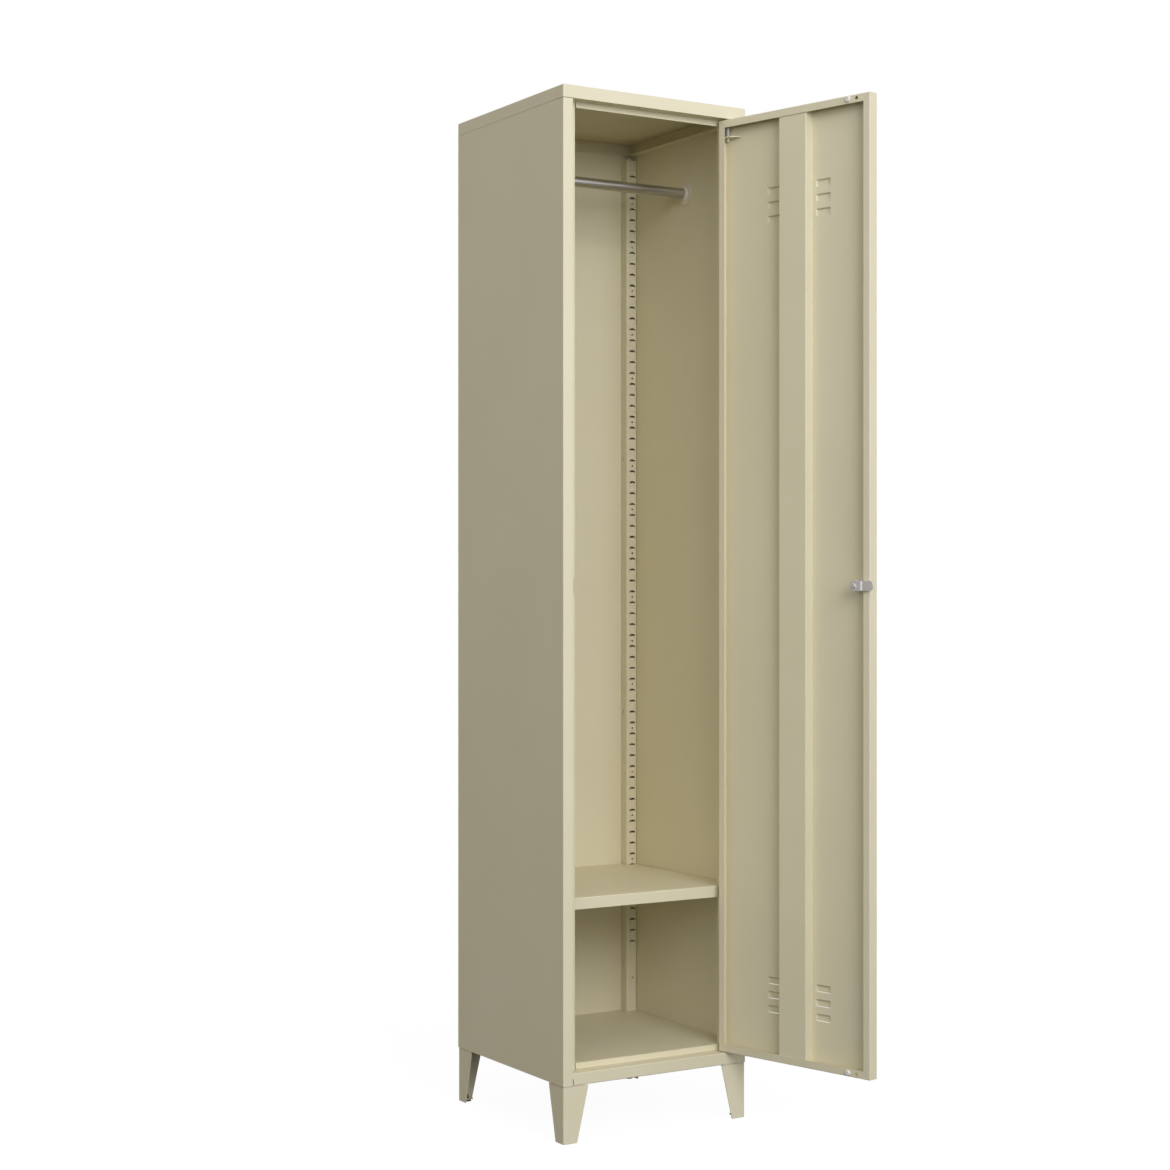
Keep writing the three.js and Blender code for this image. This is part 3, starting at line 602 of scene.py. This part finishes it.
# ---------------------------------------------------------------- slotted posts
SHEET = 0.8
BEND = 0.8
POST = {"hem": 7, "tail": 12}
POST_SLOT = {"width": 12.8, "height": 4.2, "pitch": 21, "count": 71, "first": 265.6, "x": 10.7}
POST_HOLE_RADIUS = 1.75
POST_HOLES = [195.0] + [339.1 + 84 * i for i in range(17)]
WEB_DASH = {"width": 2.2, "height": 8, "from_back": 8}
WEB_DASHES = [222, 707, 1192, 1678]


def crescent(x, z, width, height):
    """A half-moon slot: its top is a full arc and its lower edge rises slightly in the middle."""
    half, low = width / 2, z - height / 2
    rise, spring, corner, fullness = 0.7, 0.5, 0.35, 0.8
    above, below = 14, 8
    upper = [(x + half * math.cos(a), low + spring + (height - spring) * math.sin(a) ** fullness)
             for a in (math.pi * i / above for i in range(1, above))]
    lower = [(x - half + width * i / below,
              low + rise * math.sin(math.pi * i / below) ** 2 + (corner if i in (0, below) else 0))
             for i in range(below + 1)]
    return upper + lower


def slotted_post(end, side):
    """The rear left post, or one of the other three as its mirror image."""
    low, high = cabinet_box("post_rear_left")
    face, back, left, right = low.y, high.y, low.x, high.x
    sheet = Fold([(left, back - POST["hem"]), (left, face), (right, face), (right, back),
                  (right - POST["tail"], back)], SHEET, BEND)
    bottom, top = low.z, high.z
    face_at = sheet.after_corner(1) - sheet.place(sheet.after_corner(1), 0).x
    holes = [crescent(face_at + POST_SLOT["x"], POST_SLOT["first"] + POST_SLOT["pitch"] * i,
                      POST_SLOT["width"], POST_SLOT["height"]) for i in range(POST_SLOT["count"])]
    holes += [circle(face_at + POST_SLOT["x"], z, POST_HOLE_RADIUS, 14) for z in POST_HOLES]
    web_at = sheet.after_corner(2) - sheet.place(sheet.after_corner(2), 0).y
    middle = web_at + back - WEB_DASH["from_back"]
    half, tall = WEB_DASH["width"] / 2, WEB_DASH["height"] / 2
    holes += [[(middle - half, z - tall), (middle + half, z - tall), (middle + half, z + tall),
               (middle - half, z + tall)] for z in WEB_DASHES]
    bm = bmesh.new()
    plate(bm, [(0, bottom), (sheet.length, bottom), (sheet.length, top), (0, top)], holes, 0, SHEET)
    span = cabinet_box("post_front_left")[0].y + high.y

    def reach(x, y, z):
        return Vector((WIDTH - x if side == "right" else x, span - y if end == "front" else y, z))

    sheet.fold(bm, reach)
    as_piece(mesh_from(bm, SHIFT), f"post_{end}_{side}")


for post_end in ("rear", "front"):
    for post_side in ("left", "right"):
        slotted_post(post_end, post_side)


# ---------------------------------------------------------------- shelf
def inset(points, distance):
    """A closed polygon moved in by a distance, to the left of each of its edges."""
    result = []
    for before, here, after in zip(points[-1:] + points[:-1], points, points[1:] + points[:1]):
        a, b, c = Vector(before), Vector(here), Vector(after)
        into, out = (b - a).normalized(), (c - b).normalized()
        left = Vector((-into.y - out.y, into.x + out.x))
        result.append(tuple(b + left * distance / (1 + into.dot(out))))
    return result


def tray(bm, outline, top, height, thickness, radius):
    """A sheet whose edges are folded down all round, with the fold's outside rounded."""
    arc = [(radius * (1 - math.sin(a)), -radius * (1 - math.cos(a))) for a in quarter_turn(6)]
    inner = radius - thickness
    inner_arc = [(thickness + inner * (1 - math.sin(a)), -thickness - inner * (1 - math.cos(a)))
                 for a in quarter_turn(6)]
    outside = [(0, -height), *reversed(arc)]
    inside = [*inner_arc, (thickness, -height)]
    rings = [[bm.verts.new((x, y, top + drop)) for x, y in inset(outline, distance)]
             for distance, drop in outside + inside]
    middle = len(outside) - 1
    for index in range(len(rings)):
        if index != middle:
            bridge(bm, rings[index], rings[(index + 1) % len(rings)])
    for ring in (rings[middle], rings[middle + 1]):
        bmesh.ops.triangle_fill(bm, use_beauty=True, edges=loop_edges(bm, ring), normal=(0, 0, 1))


def corner_rounded(points, radii, steps=5):
    """A closed polygon with some of its corners rounded."""
    result = []
    neighbours = zip(points[-1:] + points[:-1], points, points[1:] + points[:1], radii)
    for before, here, after, radius in neighbours:
        if not radius:
            result.append(here)
            continue
        a, b, c = Vector(before), Vector(here), Vector(after)
        start = b + (a - b).normalized() * radius
        end = b + (c - b).normalized() * radius
        for i in range(steps + 1):
            t = i / steps
            result.append(tuple(start * (1 - t) ** 2 + b * 2 * t * (1 - t) + end * t ** 2))
    return result


def shelf():
    """A tray cut out round the four posts and narrowed at the front, to pass the door's frame."""
    low, high = cabinet_box("shelf")
    rear_post, front_post = cabinet_box("post_rear_left"), cabinet_box("post_front_left")
    side_gap, end_gap = 1.2, 1.5
    frame_inside, frame_behind = 39, 34
    round_radius = 1.6
    beside = rear_post[1].x + side_gap
    rear_notch, front_notch = rear_post[0].y - end_gap, front_post[1].y + end_gap
    half = [(beside, high.y), (beside, rear_notch), (low.x, rear_notch), (low.x, front_notch),
            (beside, front_notch), (beside, frame_behind), (frame_inside, frame_behind),
            (frame_inside, low.y)]
    outline = half + [(WIDTH - x, y) for x, y in reversed(half)]
    radii = [round_radius if y == low.y else 0 for _, y in outline]
    bm = bmesh.new()
    tray(bm, corner_rounded(outline, radii), high.z, high.z - low.z, SHEET, round_radius)
    as_piece(mesh_from(bm, SHIFT), "shelf")


shelf()


# ---------------------------------------------------------------- hanging rod and its sockets
def rod():
    low, high = cabinet_box("hanging_rod")
    radius, y, z = (high.z - low.z) / 2, (low.y + high.y) / 2, (low.z + high.z) / 2
    wall, ease = 1.1, 0.25
    profile = rounded([(radius - wall, low.x), (radius, low.x), (radius, high.x),
                       (radius - wall, high.x)], ease, 3)
    turned_piece("hanging_rod", profile, Vector((0, y, z)), "x", 96, SHIFT, closed=True)


def rod_socket(side):
    low, high = cabinet_box("rod_socket_left")
    y, z, radius = (low.y + high.y) / 2, (low.z + high.z) / 2, (high.z - low.z) / 2
    bore, base, collar = 9.8, 2.5, 12.1
    mouth = high.x - low.x
    profile = rounded([
        (0, 0), (radius, 0), (radius - 0.3, base - 0.4), (radius - 1.2, base), (13.2, base),
        (12.4, base + 0.6), (collar, mouth), (bore, mouth), (bore, base),
    ], 0.5, 3) + [(0, base)]
    bm = bmesh.new()
    lathe_mesh(bm, profile, Vector((low.x, y, z)), "x", 64)
    to_corner(bm, "front", side)
    as_piece(mesh_from(bm, SHIFT), f"rod_socket_{side}")


rod()
rod_socket("left")
rod_socket("right")


# ---------------------------------------------------------------- legs, levellers, bolts and nuts
LEG_SHEET = 1.5
LEG_BOLT_AT = 28


def leg(end, side):
    """A tapered angle with two flat tabs inside it: one bolts to the floor, one holds the leveller."""
    outer, top_width, bottom_width, foot = 1, 50, 28, 0.3
    top = cabinet_box("leg_front_left")[1].z
    angle = Fold([(outer, top_width), (outer, outer), (top_width, outer)], LEG_SHEET, BEND)
    cut = top_width - bottom_width
    ease, upright = 1.5, 3
    seam = top - 0.7
    blank = corner_rounded([
        (cut, foot), (angle.length - cut, foot), (angle.length, seam - upright), (angle.length, seam),
        (0, seam), (0, seam - upright),
    ], [ease, ease, 0, 0, 0, 0])
    bm = bmesh.new()
    plate(bm, blank, [], 0, LEG_SHEET)
    angle.fold(bm)
    soften(bm, 0.25)
    inside = outer + LEG_SHEET - 0.2
    bolt_tab = (46, top - LEG_SHEET, LEG_BOLT_AT, 4.4)
    leveller_tab = (21.5, 4, 12.5, 2.8)
    for reach, height, hole, radius in (bolt_tab, leveller_tab):
        flat = bmesh.new()
        square = corner_rounded([(inside, inside), (reach, inside), (reach, reach), (inside, reach)],
                                [0.1, 2, 4, 2])
        plate(flat, square, [circle(hole, hole, radius, 28)], height, height + LEG_SHEET)
        soften(flat, 0.2)
        part = bpy.data.meshes.new("part")
        flat.to_mesh(part)
        flat.free()
        bm.from_mesh(part)
    to_corner(bm, end, side)
    as_piece(mesh_from(bm, SHIFT), f"leg_{end}_{side}")


def threaded(bm, radius, low, high, centre, pitch, depth):
    """Adds an upright threaded rod to bm. Its thread runs out at both ends."""
    segments, rows_per_turn = 24, 6
    place = Matrix.Translation(centre)
    rows = int((high - low) / pitch * rows_per_turn)
    grid = []
    for row in range(rows + 1):
        height = low + (high - low) * row / rows
        fade = min(1.0, (height - low) / pitch, (high - height) / pitch)
        ring = []
        for i in range(segments):
            phase = (height / pitch - i / segments) % 1.0
            crest = 1 - abs(2 * phase - 1)
            reach = radius - depth * (1 - crest * fade)
            a = 2 * math.pi * i / segments
            ring.append(bm.verts.new(place @ Vector((reach * math.cos(a), reach * math.sin(a), height))))
        grid.append(ring)
    for a, b in zip(grid, grid[1:]):
        bridge(bm, a, b)
    for ring in (grid[0], grid[-1]):
        bm.faces.new(ring)


def leveller(end, side):
    low, high = cabinet_box("leveller_front_left")
    place = Vector(((low.x + high.x) / 2, (low.y + high.y) / 2, 0))
    radius = (high.x - low.x) / 2
    bm = bmesh.new()
    hub = 3.5
    profile = rounded([(0, 0), (radius - 0.7, 0), (radius, 0.7), (radius - 0.3, 1.9),
                       (radius - 1.3, 2.6), (3.4, 2.8), (3.2, hub), (0, hub)], 0.5, 3)
    lathe_mesh(bm, profile, place, "z")
    threaded(bm, 2.5, 3.2, high.z, place, pitch=0.8, depth=0.3)
    to_corner(bm, end, side)
    as_piece(mesh_from(bm, SHIFT), f"leveller_{end}_{side}")


def hex_nut(bm, across, x, y, low, high, hole=None, swap=False):
    """Adds a chamfered hexagon to bm, along Z at (x, y), or along Y at (x, z) if swapped."""
    count = 72
    chamfer = 0.45
    at_side, at_end = across / math.sqrt(3) - 0.15, across / 2 + 0.35
    bands = [(low, at_end), (low + chamfer, at_side), (high - chamfer, at_side), (high, at_end)]
    rings = []
    for height, limit in bands:
        ring = []
        for i in range(count):
            a = 2 * math.pi * i / count
            reach = min(limit, (across / 2) / math.cos((a % (math.pi / 3)) - math.pi / 6))
            ring.append((x + reach * math.cos(a), y + reach * math.sin(a), height))
        rings.append(ring)
    if hole:
        rings += [[(px, py, height) for px, py in circle(x, y, hole, count)] for height in (high, low)]
    made = [[bm.verts.new((px, pz, py) if swap else (px, py, pz)) for px, py, pz in ring]
            for ring in rings]
    pairs = list(zip(made, made[1:])) + ([(made[-1], made[0])] if hole else [])
    for a, b in pairs:
        bridge(bm, a, b)
    if not hole:
        bm.faces.new(made[0])
        bm.faces.new(made[-1])


def leg_bolt(end, side):
    low, high = cabinet_box("leg_bolt_front_left")
    place = Vector((LEG_BOLT_AT, LEG_BOLT_AT, 0))
    inner, outer = 4.2, 8
    washer_top = cabinet_box("leg_front_left")[1].z - 1.8
    washer_low = washer_top - 0.8
    bm = bmesh.new()
    hex_nut(bm, 13, LEG_BOLT_AT, LEG_BOLT_AT, low.z, washer_low)
    washer = rounded([(inner, washer_low), (outer, washer_low), (outer, washer_top),
                      (inner, washer_top), (inner, washer_low)], 0.15, 2)
    closed_lathe(bm, washer, place, "z", 40)
    threaded(bm, 4, washer_top - 1, high.z, place, pitch=1.25, depth=0.4)
    to_corner(bm, end, side)
    as_piece(mesh_from(bm, SHIFT), f"leg_bolt_{end}_{side}")


for leg_end in ("front", "rear"):
    for leg_side in ("left", "right"):
        leg(leg_end, leg_side)
        leveller(leg_end, leg_side)
        leg_bolt(leg_end, leg_side)


# ---------------------------------------------------------------- screws in the back
def cross_recess(bm, centre, depth, reach, width):
    """Adds a tapered cross to bm, for a screw head that faces along Y. It goes in by depth."""
    quarters = ((1, 0), (0, 1), (-1, 0), (0, -1))
    rings = []
    for long, short, down in ((reach, width, 0), (reach * 0.55, width * 0.7, depth)):
        arm = [(long, -short), (long, short), (short, short)]
        corners = [(x * c - z * s, x * s + z * c) for c, s in quarters for x, z in arm]
        rings.append([bm.verts.new(centre + Vector((x, down, z))) for x, z in corners])
    bridge(bm, *rings)
    for ring in rings:
        bm.faces.new(ring)


def crossed_screw(node, profile, top, segments, recess, matrix):
    """A turned screw with a cross recess, of (depth, reach, width), in the top of its head."""
    bm = bmesh.new()
    lathe_mesh(bm, profile, Vector((top.x, 0, top.z)), "y", segments)
    cutter = bmesh.new()
    cross_recess(cutter, Vector((top.x, top.y + 0.4, top.z)), *recess)
    screw = carved(mesh_from(bm), cutter)
    screw.transform(matrix)
    as_piece(screw, node)


def pan_screw(node):
    low, high = cabinet_box(node)
    top = Vector(((low.x + high.x) / 2, high.y, (low.z + high.z) / 2))
    seat, tip, shank, radius = high.y - 2, low.y, 1.9, (high.z - low.z) / 2
    dome = [(radius * math.cos(a), seat + 0.5 + 1.5 * math.sin(a)) for a in quarter_turn(8)[:-1]]
    profile = [(0, tip), (1.7, tip + 0.6), (shank, tip + 1.2), (shank, seat), (radius - 0.1, seat),
               *dome, (0, high.y)]
    crossed_screw(node, profile, top, 40, (-1.6, 2.0, 0.42), SHIFT)


for screw_node in (node for node in NODES if node.startswith("back_screw_")):
    pan_screw(screw_node)


# ---------------------------------------------------------------- door, laid out closed
PIN_RADIUS = 2.6
STIFFENER_LOW, STIFFENER_HIGH = closed_box("door_stiffener")
STIFFENER_GAP = 0.3
DOOR = {"left": 21.5, "right": 355.5, "bottom": STIFFENER_LOW.z - SHEET - STIFFENER_GAP,
        "top": STIFFENER_HIGH.z + SHEET + STIFFENER_GAP, "depth": 20.0, "flange": 13.5, "edge": 1.5}
LOUVRE = {"width": 31.5, "height": 12.4, "pitch": 25, "proud": 3.4, "slope": 2.6, "side": 1.8,
          "lefts": (119.5, 227), "tops": (1647, 263.7), "rows": 3, "across": 22, "down": 16}
FLANGE_CENTRES = (DOOR["top"] - 6.2, DOOR["bottom"] + 6.2)
LOCK_LOW, LOCK_HIGH = closed_box("lock_housing")
LOCK = Vector(((LOCK_LOW.x + LOCK_HIGH.x) / 2, 0, (LOCK_LOW.z + LOCK_HIGH.z) / 2))
LOCK_THREAD = 9


def smooth(t):
    t = min(1.0, max(0.0, t))
    return t * t * (3 - 2 * t)


def louvre_grid(left, top):
    """The hood of one louvre, as rows of (x, z, how far it stands out) from its top to its opening."""
    across = [left + LOUVRE["width"] * (1 - math.cos(math.pi * i / LOUVRE["across"])) / 2
              for i in range(LOUVRE["across"] + 1)]
    down = [top - LOUVRE["height"] * i / LOUVRE["down"] for i in range(LOUVRE["down"] + 1)]
    return [[(x, z, LOUVRE["proud"] * smooth((x - left) / LOUVRE["side"])
              * smooth((left + LOUVRE["width"] - x) / LOUVRE["side"])
              * smooth((top - z) / LOUVRE["slope"])) for x in across] for z in down]


def add_louvre(bm, rows):
    """Adds both faces of a hood and the rim along its opening to bm."""
    lower_edges = []
    for depth in (0, SHEET):
        grid = [[bm.verts.new((x, depth - out, z)) for x, z, out in row] for row in rows]
        for a, b in zip(grid, grid[1:]):
            bridge(bm, a, b, closed=False)
        lower_edges.append(grid[-1])
    bridge(bm, *lower_edges, closed=False)


def louvre_hole(rows):
    """The outline that a hood leaves in the door's face, with the hood's own corner points."""
    top = [(x, z) for x, z, _ in rows[0]]
    right = [(row[-1][0], row[-1][1]) for row in rows[1:]]
    bottom = [(x, z) for x, z, _ in reversed(rows[-1][:-1])]
    left = [(row[0][0], row[0][1]) for row in reversed(rows[1:-1])]
    return top + right + bottom + left


def door_shell():
    """The folded pan, with its hoods, as one closed sheet. Its profile runs from face to flange."""
    edge, depth, flange = DOOR["edge"], DOOR["depth"], DOOR["flange"]
    quarter = quarter_turn(6)
    inner = edge - SHEET
    profile = [(edge - edge * math.sin(a), edge - edge * math.cos(a)) for a in quarter]
    profile += [(edge - edge * math.cos(a), depth - edge + edge * math.sin(a)) for a in quarter]
    profile += [(flange, depth), (flange, depth - SHEET)]
    profile += [(edge - inner * math.sin(a), depth - edge + inner * math.cos(a)) for a in quarter]
    profile += [(edge - inner * math.cos(a), edge - inner * math.sin(a)) for a in quarter]
    bm = bmesh.new()
    rings = []
    for distance, y in profile:
        left, right = DOOR["left"] + distance, DOOR["right"] - distance
        low, high = DOOR["bottom"] + distance, DOOR["top"] - distance
        corners = ((left, low), (right, low), (right, high), (left, high))
        rings.append([bm.verts.new((x, y, z)) for x, z in corners])
    for a, b in zip(rings, rings[1:]):
        bridge(bm, a, b)
    hoods = [louvre_grid(left, top - LOUVRE["pitch"] * row) for top in LOUVRE["tops"]
             for left in LOUVRE["lefts"] for row in range(LOUVRE["rows"])]
    for ring, depth_here in ((rings[0], 0), (rings[-1], SHEET)):
        edges = loop_edges(bm, ring)
        for rows in hoods:
            edges += loop_edges(bm, [bm.verts.new((x, depth_here, z)) for x, z in louvre_hole(rows)])
        bmesh.ops.triangle_fill(bm, use_beauty=True, edges=edges, normal=(0, 1, 0))
    for rows in hoods:
        cut_edges = [[bm.verts.new((x, depth_here, z)) for x, z, _ in rows[-1]]
                     for depth_here in (0, SHEET)]
        bridge(bm, *cut_edges, closed=False)
        add_louvre(bm, rows)
    bmesh.ops.remove_doubles(bm, verts=bm.verts, dist=0.004)
    return mesh_from(bm)


def hole_cutter(bm, x, y, z, radius, axis, reach=3.0, segments=32):
    profile = [(0, -reach), (radius, -reach), (radius, reach), (0, reach)]
    lathe_mesh(bm, profile, Vector((x, y, z)), axis, segments)


def door_cutters():
    """Holes for the bumpers, pins and lock, the spare holes beside the bumpers, and the mitre seams."""
    bm = bmesh.new()
    depth, flange = DOOR["depth"], DOOR["flange"]
    bumper_x, spare_x = 67, 49.5
    seam_half_width, seam_half_depth = 0.14, 1.1
    for z in FLANGE_CENTRES:
        hole_cutter(bm, bumper_x, depth, z, 3.0, "y")
        hole_cutter(bm, spare_x, depth, z, 3.15, "y")
    for z in (DOOR["bottom"], DOOR["top"]):
        hole_cutter(bm, HINGE.x, HINGE.y, z, PIN_RADIUS + 0.4, "z")
    hole_cutter(bm, LOCK.x, 0, LOCK.z, LOCK_THREAD + 0.3, "y", 2.0, 64)
    for x, x_sign in ((DOOR["left"], 1), (DOOR["right"], -1)):
        for z, z_sign in ((DOOR["bottom"], 1), (DOOR["top"], -1)):
            middle = Vector((x + x_sign * (flange / 2 + 0.3), depth, z + z_sign * (flange / 2 + 0.3)))
            along = Vector((x_sign, 0, z_sign)).normalized() * (flange / 2 - 0.15) * math.sqrt(2)
            across = Vector((x_sign, 0, -z_sign)).normalized() * seam_half_width
            deep = Vector((0, seam_half_depth, 0))
            verts = [bm.verts.new(middle + a * along + b * across + c * deep) for c in (-1, 1)
                     for a, b in ((-1, -1), (1, -1), (1, 1), (-1, 1))]
            bm.faces.new(verts[:4])
            bm.faces.new(verts[4:])
            bridge(bm, verts[:4], verts[4:])
    return bm


def door_panel():
    mesh = carved(door_shell(), door_cutters())
    mesh.transform(DOOR_SWING)
    as_piece(mesh, "door_panel")


def door_stiffener():
    low, high = closed_box("door_stiffener")
    foot = 6.5
    section = folded([(high.x, low.y), (high.x - foot, low.y), (high.x - foot, high.y),
                      (low.x + foot, high.y), (low.x + foot, low.y), (low.x, low.y)], SHEET, BEND, 7)
    bm = bmesh.new()
    extruded(bm, section, low.z, high.z)
    as_piece(mesh_from(bm, DOOR_SWING), "door_stiffener")


door_panel()
door_stiffener()


# ---------------------------------------------------------------- lock
def lock_housing():
    """A collar in front of the door and a threaded barrel behind it, bored for the plug."""
    collar, bore, root, face = 12, 5.6, 8.62, LOCK_LOW.y
    threads = []
    y = 1.4
    while y < 21.5:
        threads += [(LOCK_THREAD, y), (root, y + 0.5)]
        y += 1
    profile = rounded([(bore, face + 0.5), (6.2, face), (10.6, face), (collar, face + 1.3),
                       (collar, -0.3), (LOCK_THREAD, -0.3)], 0.5, 4)
    profile += [*threads, (LOCK_THREAD, 22.4), (8.6, LOCK_HIGH.y), (bore, LOCK_HIGH.y)]
    turned_piece("lock_housing", profile, LOCK, "y", 56, DOOR_SWING, closed=True)


def lock_plug():
    low, high = closed_box("lock_plug")
    radius = 5.2
    profile = rounded([(0, low.y), (radius, low.y), (radius, high.y), (0, high.y)], 0.4, 4)
    bm = bmesh.new()
    lathe_mesh(bm, profile, LOCK, "y")
    plug = mesh_from(bm)
    keyway = bmesh.new()
    outline = [(-0.7, -3.6), (0.7, -3.6), (0.7, -0.6), (1.3, -0.1), (1.3, 1.2), (0.7, 1.5),
               (0.7, 3.6), (-0.7, 3.6), (-0.7, 1.2), (-0.2, 0.9), (-0.2, -0.6), (-0.7, -1)]
    extruded(keyway, [(LOCK.x + x, LOCK.z + z) for x, z in outline], -11, 4)
    # Turns (x, y, z) into (x, -z, y), so that the slot is cut along Y from the plug's face.
    keyway.transform(Matrix(((1, 0, 0, 0), (0, 0, -1, 0), (0, 1, 0, 0), (0, 0, 0, 1))))
    plug = carved(plug, keyway)
    plug.transform(DOOR_SWING)
    as_piece(plug, "lock_plug")


def lock_nut():
    low, high = closed_box("lock_nut")
    bm = bmesh.new()
    hex_nut(bm, 22, LOCK.x, LOCK.z, low.y, high.y, hole=LOCK_THREAD + 0.15, swap=True)
    as_piece(mesh_from(bm, DOOR_SWING), "lock_nut")


def lock_cam():
    """A stamped plate, cranked down to its tongue, with both ends rounded."""
    low, high = closed_box("lock_cam")
    thickness, crank = 2, 1.5
    face, half = high.y, (high.z - low.z) / 2
    crank_start, crank_end = 37.2, 34.3
    sheet = Fold([(high.x, face), (crank_start, face), (crank_end, face - crank), (low.x, face - crank)],
                 thickness, 0.5)
    outline = corner_rounded([(0, LOCK.z - half), (sheet.length, LOCK.z - half),
                              (sheet.length, LOCK.z + half), (0, LOCK.z + half)],
                             [6.4, 8.2, 8.2, 6.4], 14)
    bm = bmesh.new()
    plate(bm, outline, [circle(high.x - LOCK.x, LOCK.z, 2.3, 24)], 0, thickness)
    sheet.fold(bm)
    soften(bm, 0.3, 3, math.radians(50))
    as_piece(mesh_from(bm, DOOR_SWING), "lock_cam")


def cam_screw():
    low, high = closed_box("cam_screw")
    seat, shank, radius = high.y - 2, 2, 4.6
    dome = [(radius * math.cos(a), seat + 0.8 + 1.2 * math.sin(a)) for a in quarter_turn(8)[:-1]]
    profile = [(0, low.y), (shank, low.y), (shank, seat), (4.45, seat), (radius, seat + 0.2),
               *dome, (0, high.y)]
    top = Vector((LOCK.x, high.y, LOCK.z))
    crossed_screw("cam_screw", profile, top, 48, (-2.8, 3.5, 0.8), DOOR_SWING)


lock_housing()
lock_plug()
lock_nut()
lock_cam()
cam_screw()


# ---------------------------------------------------------------- hinge pins, spring and bush
SPRING_GAP = 0.3


def hinge_pin(node, low, length, steps, body):
    """A turned pin: a domed nose of a given length from low up, and then the rest of its profile."""
    nose = [(PIN_RADIUS * math.sin(a), low + length - length * math.cos(a)) for a in quarter_turn(steps)]
    turned_piece(node, nose + body[1:], HINGE_AXIS, "z", 40, DOOR_SWING)


def upper_pin():
    low, high = closed_box("upper_hinge_pin")
    collar = closed_box("hinge_spring")[1].z + SPRING_GAP
    wide = (high.x - low.x) / 2
    nose, collar_height = 2.2, 2
    body = rounded([(PIN_RADIUS, low.z + nose), (PIN_RADIUS, collar), (wide, collar),
                    (wide, collar + collar_height), (PIN_RADIUS, collar + collar_height),
                    (PIN_RADIUS, high.z), (0, high.z)], 0.5, 4)
    hinge_pin("upper_hinge_pin", low.z, nose, 7, body)


def hinge_spring():
    low, high = closed_box("hinge_spring")
    wire = 0.45
    mean = (high.x - low.x) / 2 - wire - 0.05
    start, end = low.z + wire, high.z - wire
    closed, active = 1.5, 10
    turns = 2 * closed + active
    pitch = (end - start - 2 * closed * 2 * wire) / active
    around, steps_per_turn = 10, 30
    bm = bmesh.new()
    rings = []
    count = int(turns * steps_per_turn)
    for k in range(count + 1):
        turn = turns * k / count
        lift = min(turn, closed) * 2 * wire + max(0, min(turn - closed, active)) * pitch
        lift += max(0, turn - closed - active) * 2 * wire
        a = 2 * math.pi * turn
        centre = Vector((HINGE.x + mean * math.cos(a), HINGE.y + mean * math.sin(a), start + lift))
        outward = Vector((math.cos(a), math.sin(a), 0))
        rings.append([bm.verts.new(centre + outward * wire * math.cos(b)
                                   + Vector((0, 0, wire * math.sin(b))))
                      for b in (2 * math.pi * i / around for i in range(around))])
    for a, b in zip(rings, rings[1:]):
        bridge(bm, a, b)
    bm.faces.new(rings[0])
    bm.faces.new(rings[-1])
    spring = as_piece(mesh_from(bm, DOOR_SWING), "hinge_spring")
    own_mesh(spring)


def lower_pin():
    low, high = closed_box("lower_hinge_pin")
    seat = DOOR["bottom"] + SHEET + 0.3
    nose = 2
    body = rounded([(PIN_RADIUS, low.z + nose), (PIN_RADIUS, seat), (6, seat), (5.2, high.z - 0.4),
                    (0, high.z)], 0.6, 4)
    hinge_pin("lower_hinge_pin", low.z, nose, 6, body)


def lower_bush():
    low, high = cabinet_box("lower_hinge_bush")
    bore, barrel, rim = PIN_RADIUS + 0.3, 4.6, 7.5
    flange = high.z - 0.7
    profile = rounded([(bore, low.z), (barrel, low.z), (barrel, flange), (rim, flange), (rim, high.z),
                       (bore, high.z)], 0.3, 3)
    turned_piece("lower_hinge_bush", profile, HINGE_AXIS, "z", 40, SHIFT, closed=True)


def bumper(node):
    low, high = closed_box(node)
    x, z = (low.x + high.x) / 2, (low.z + high.z) / 2
    face = DOOR["depth"] + 0.3
    profile = rounded([(0, low.y), (2.2, low.y), (2.7, face), (5.5, face), (5.3, face + 1.6),
                       (3.6, high.y), (1.6, high.y - 0.1), (0, high.y - 0.9)], 0.9, 5)
    turned_piece(node, profile, Vector((x, 0, z)), "y", 40, DOOR_SWING)


upper_pin()
hinge_spring()
lower_pin()
lower_bush()
bumper("bumper_top")
bumper("bumper_bottom")
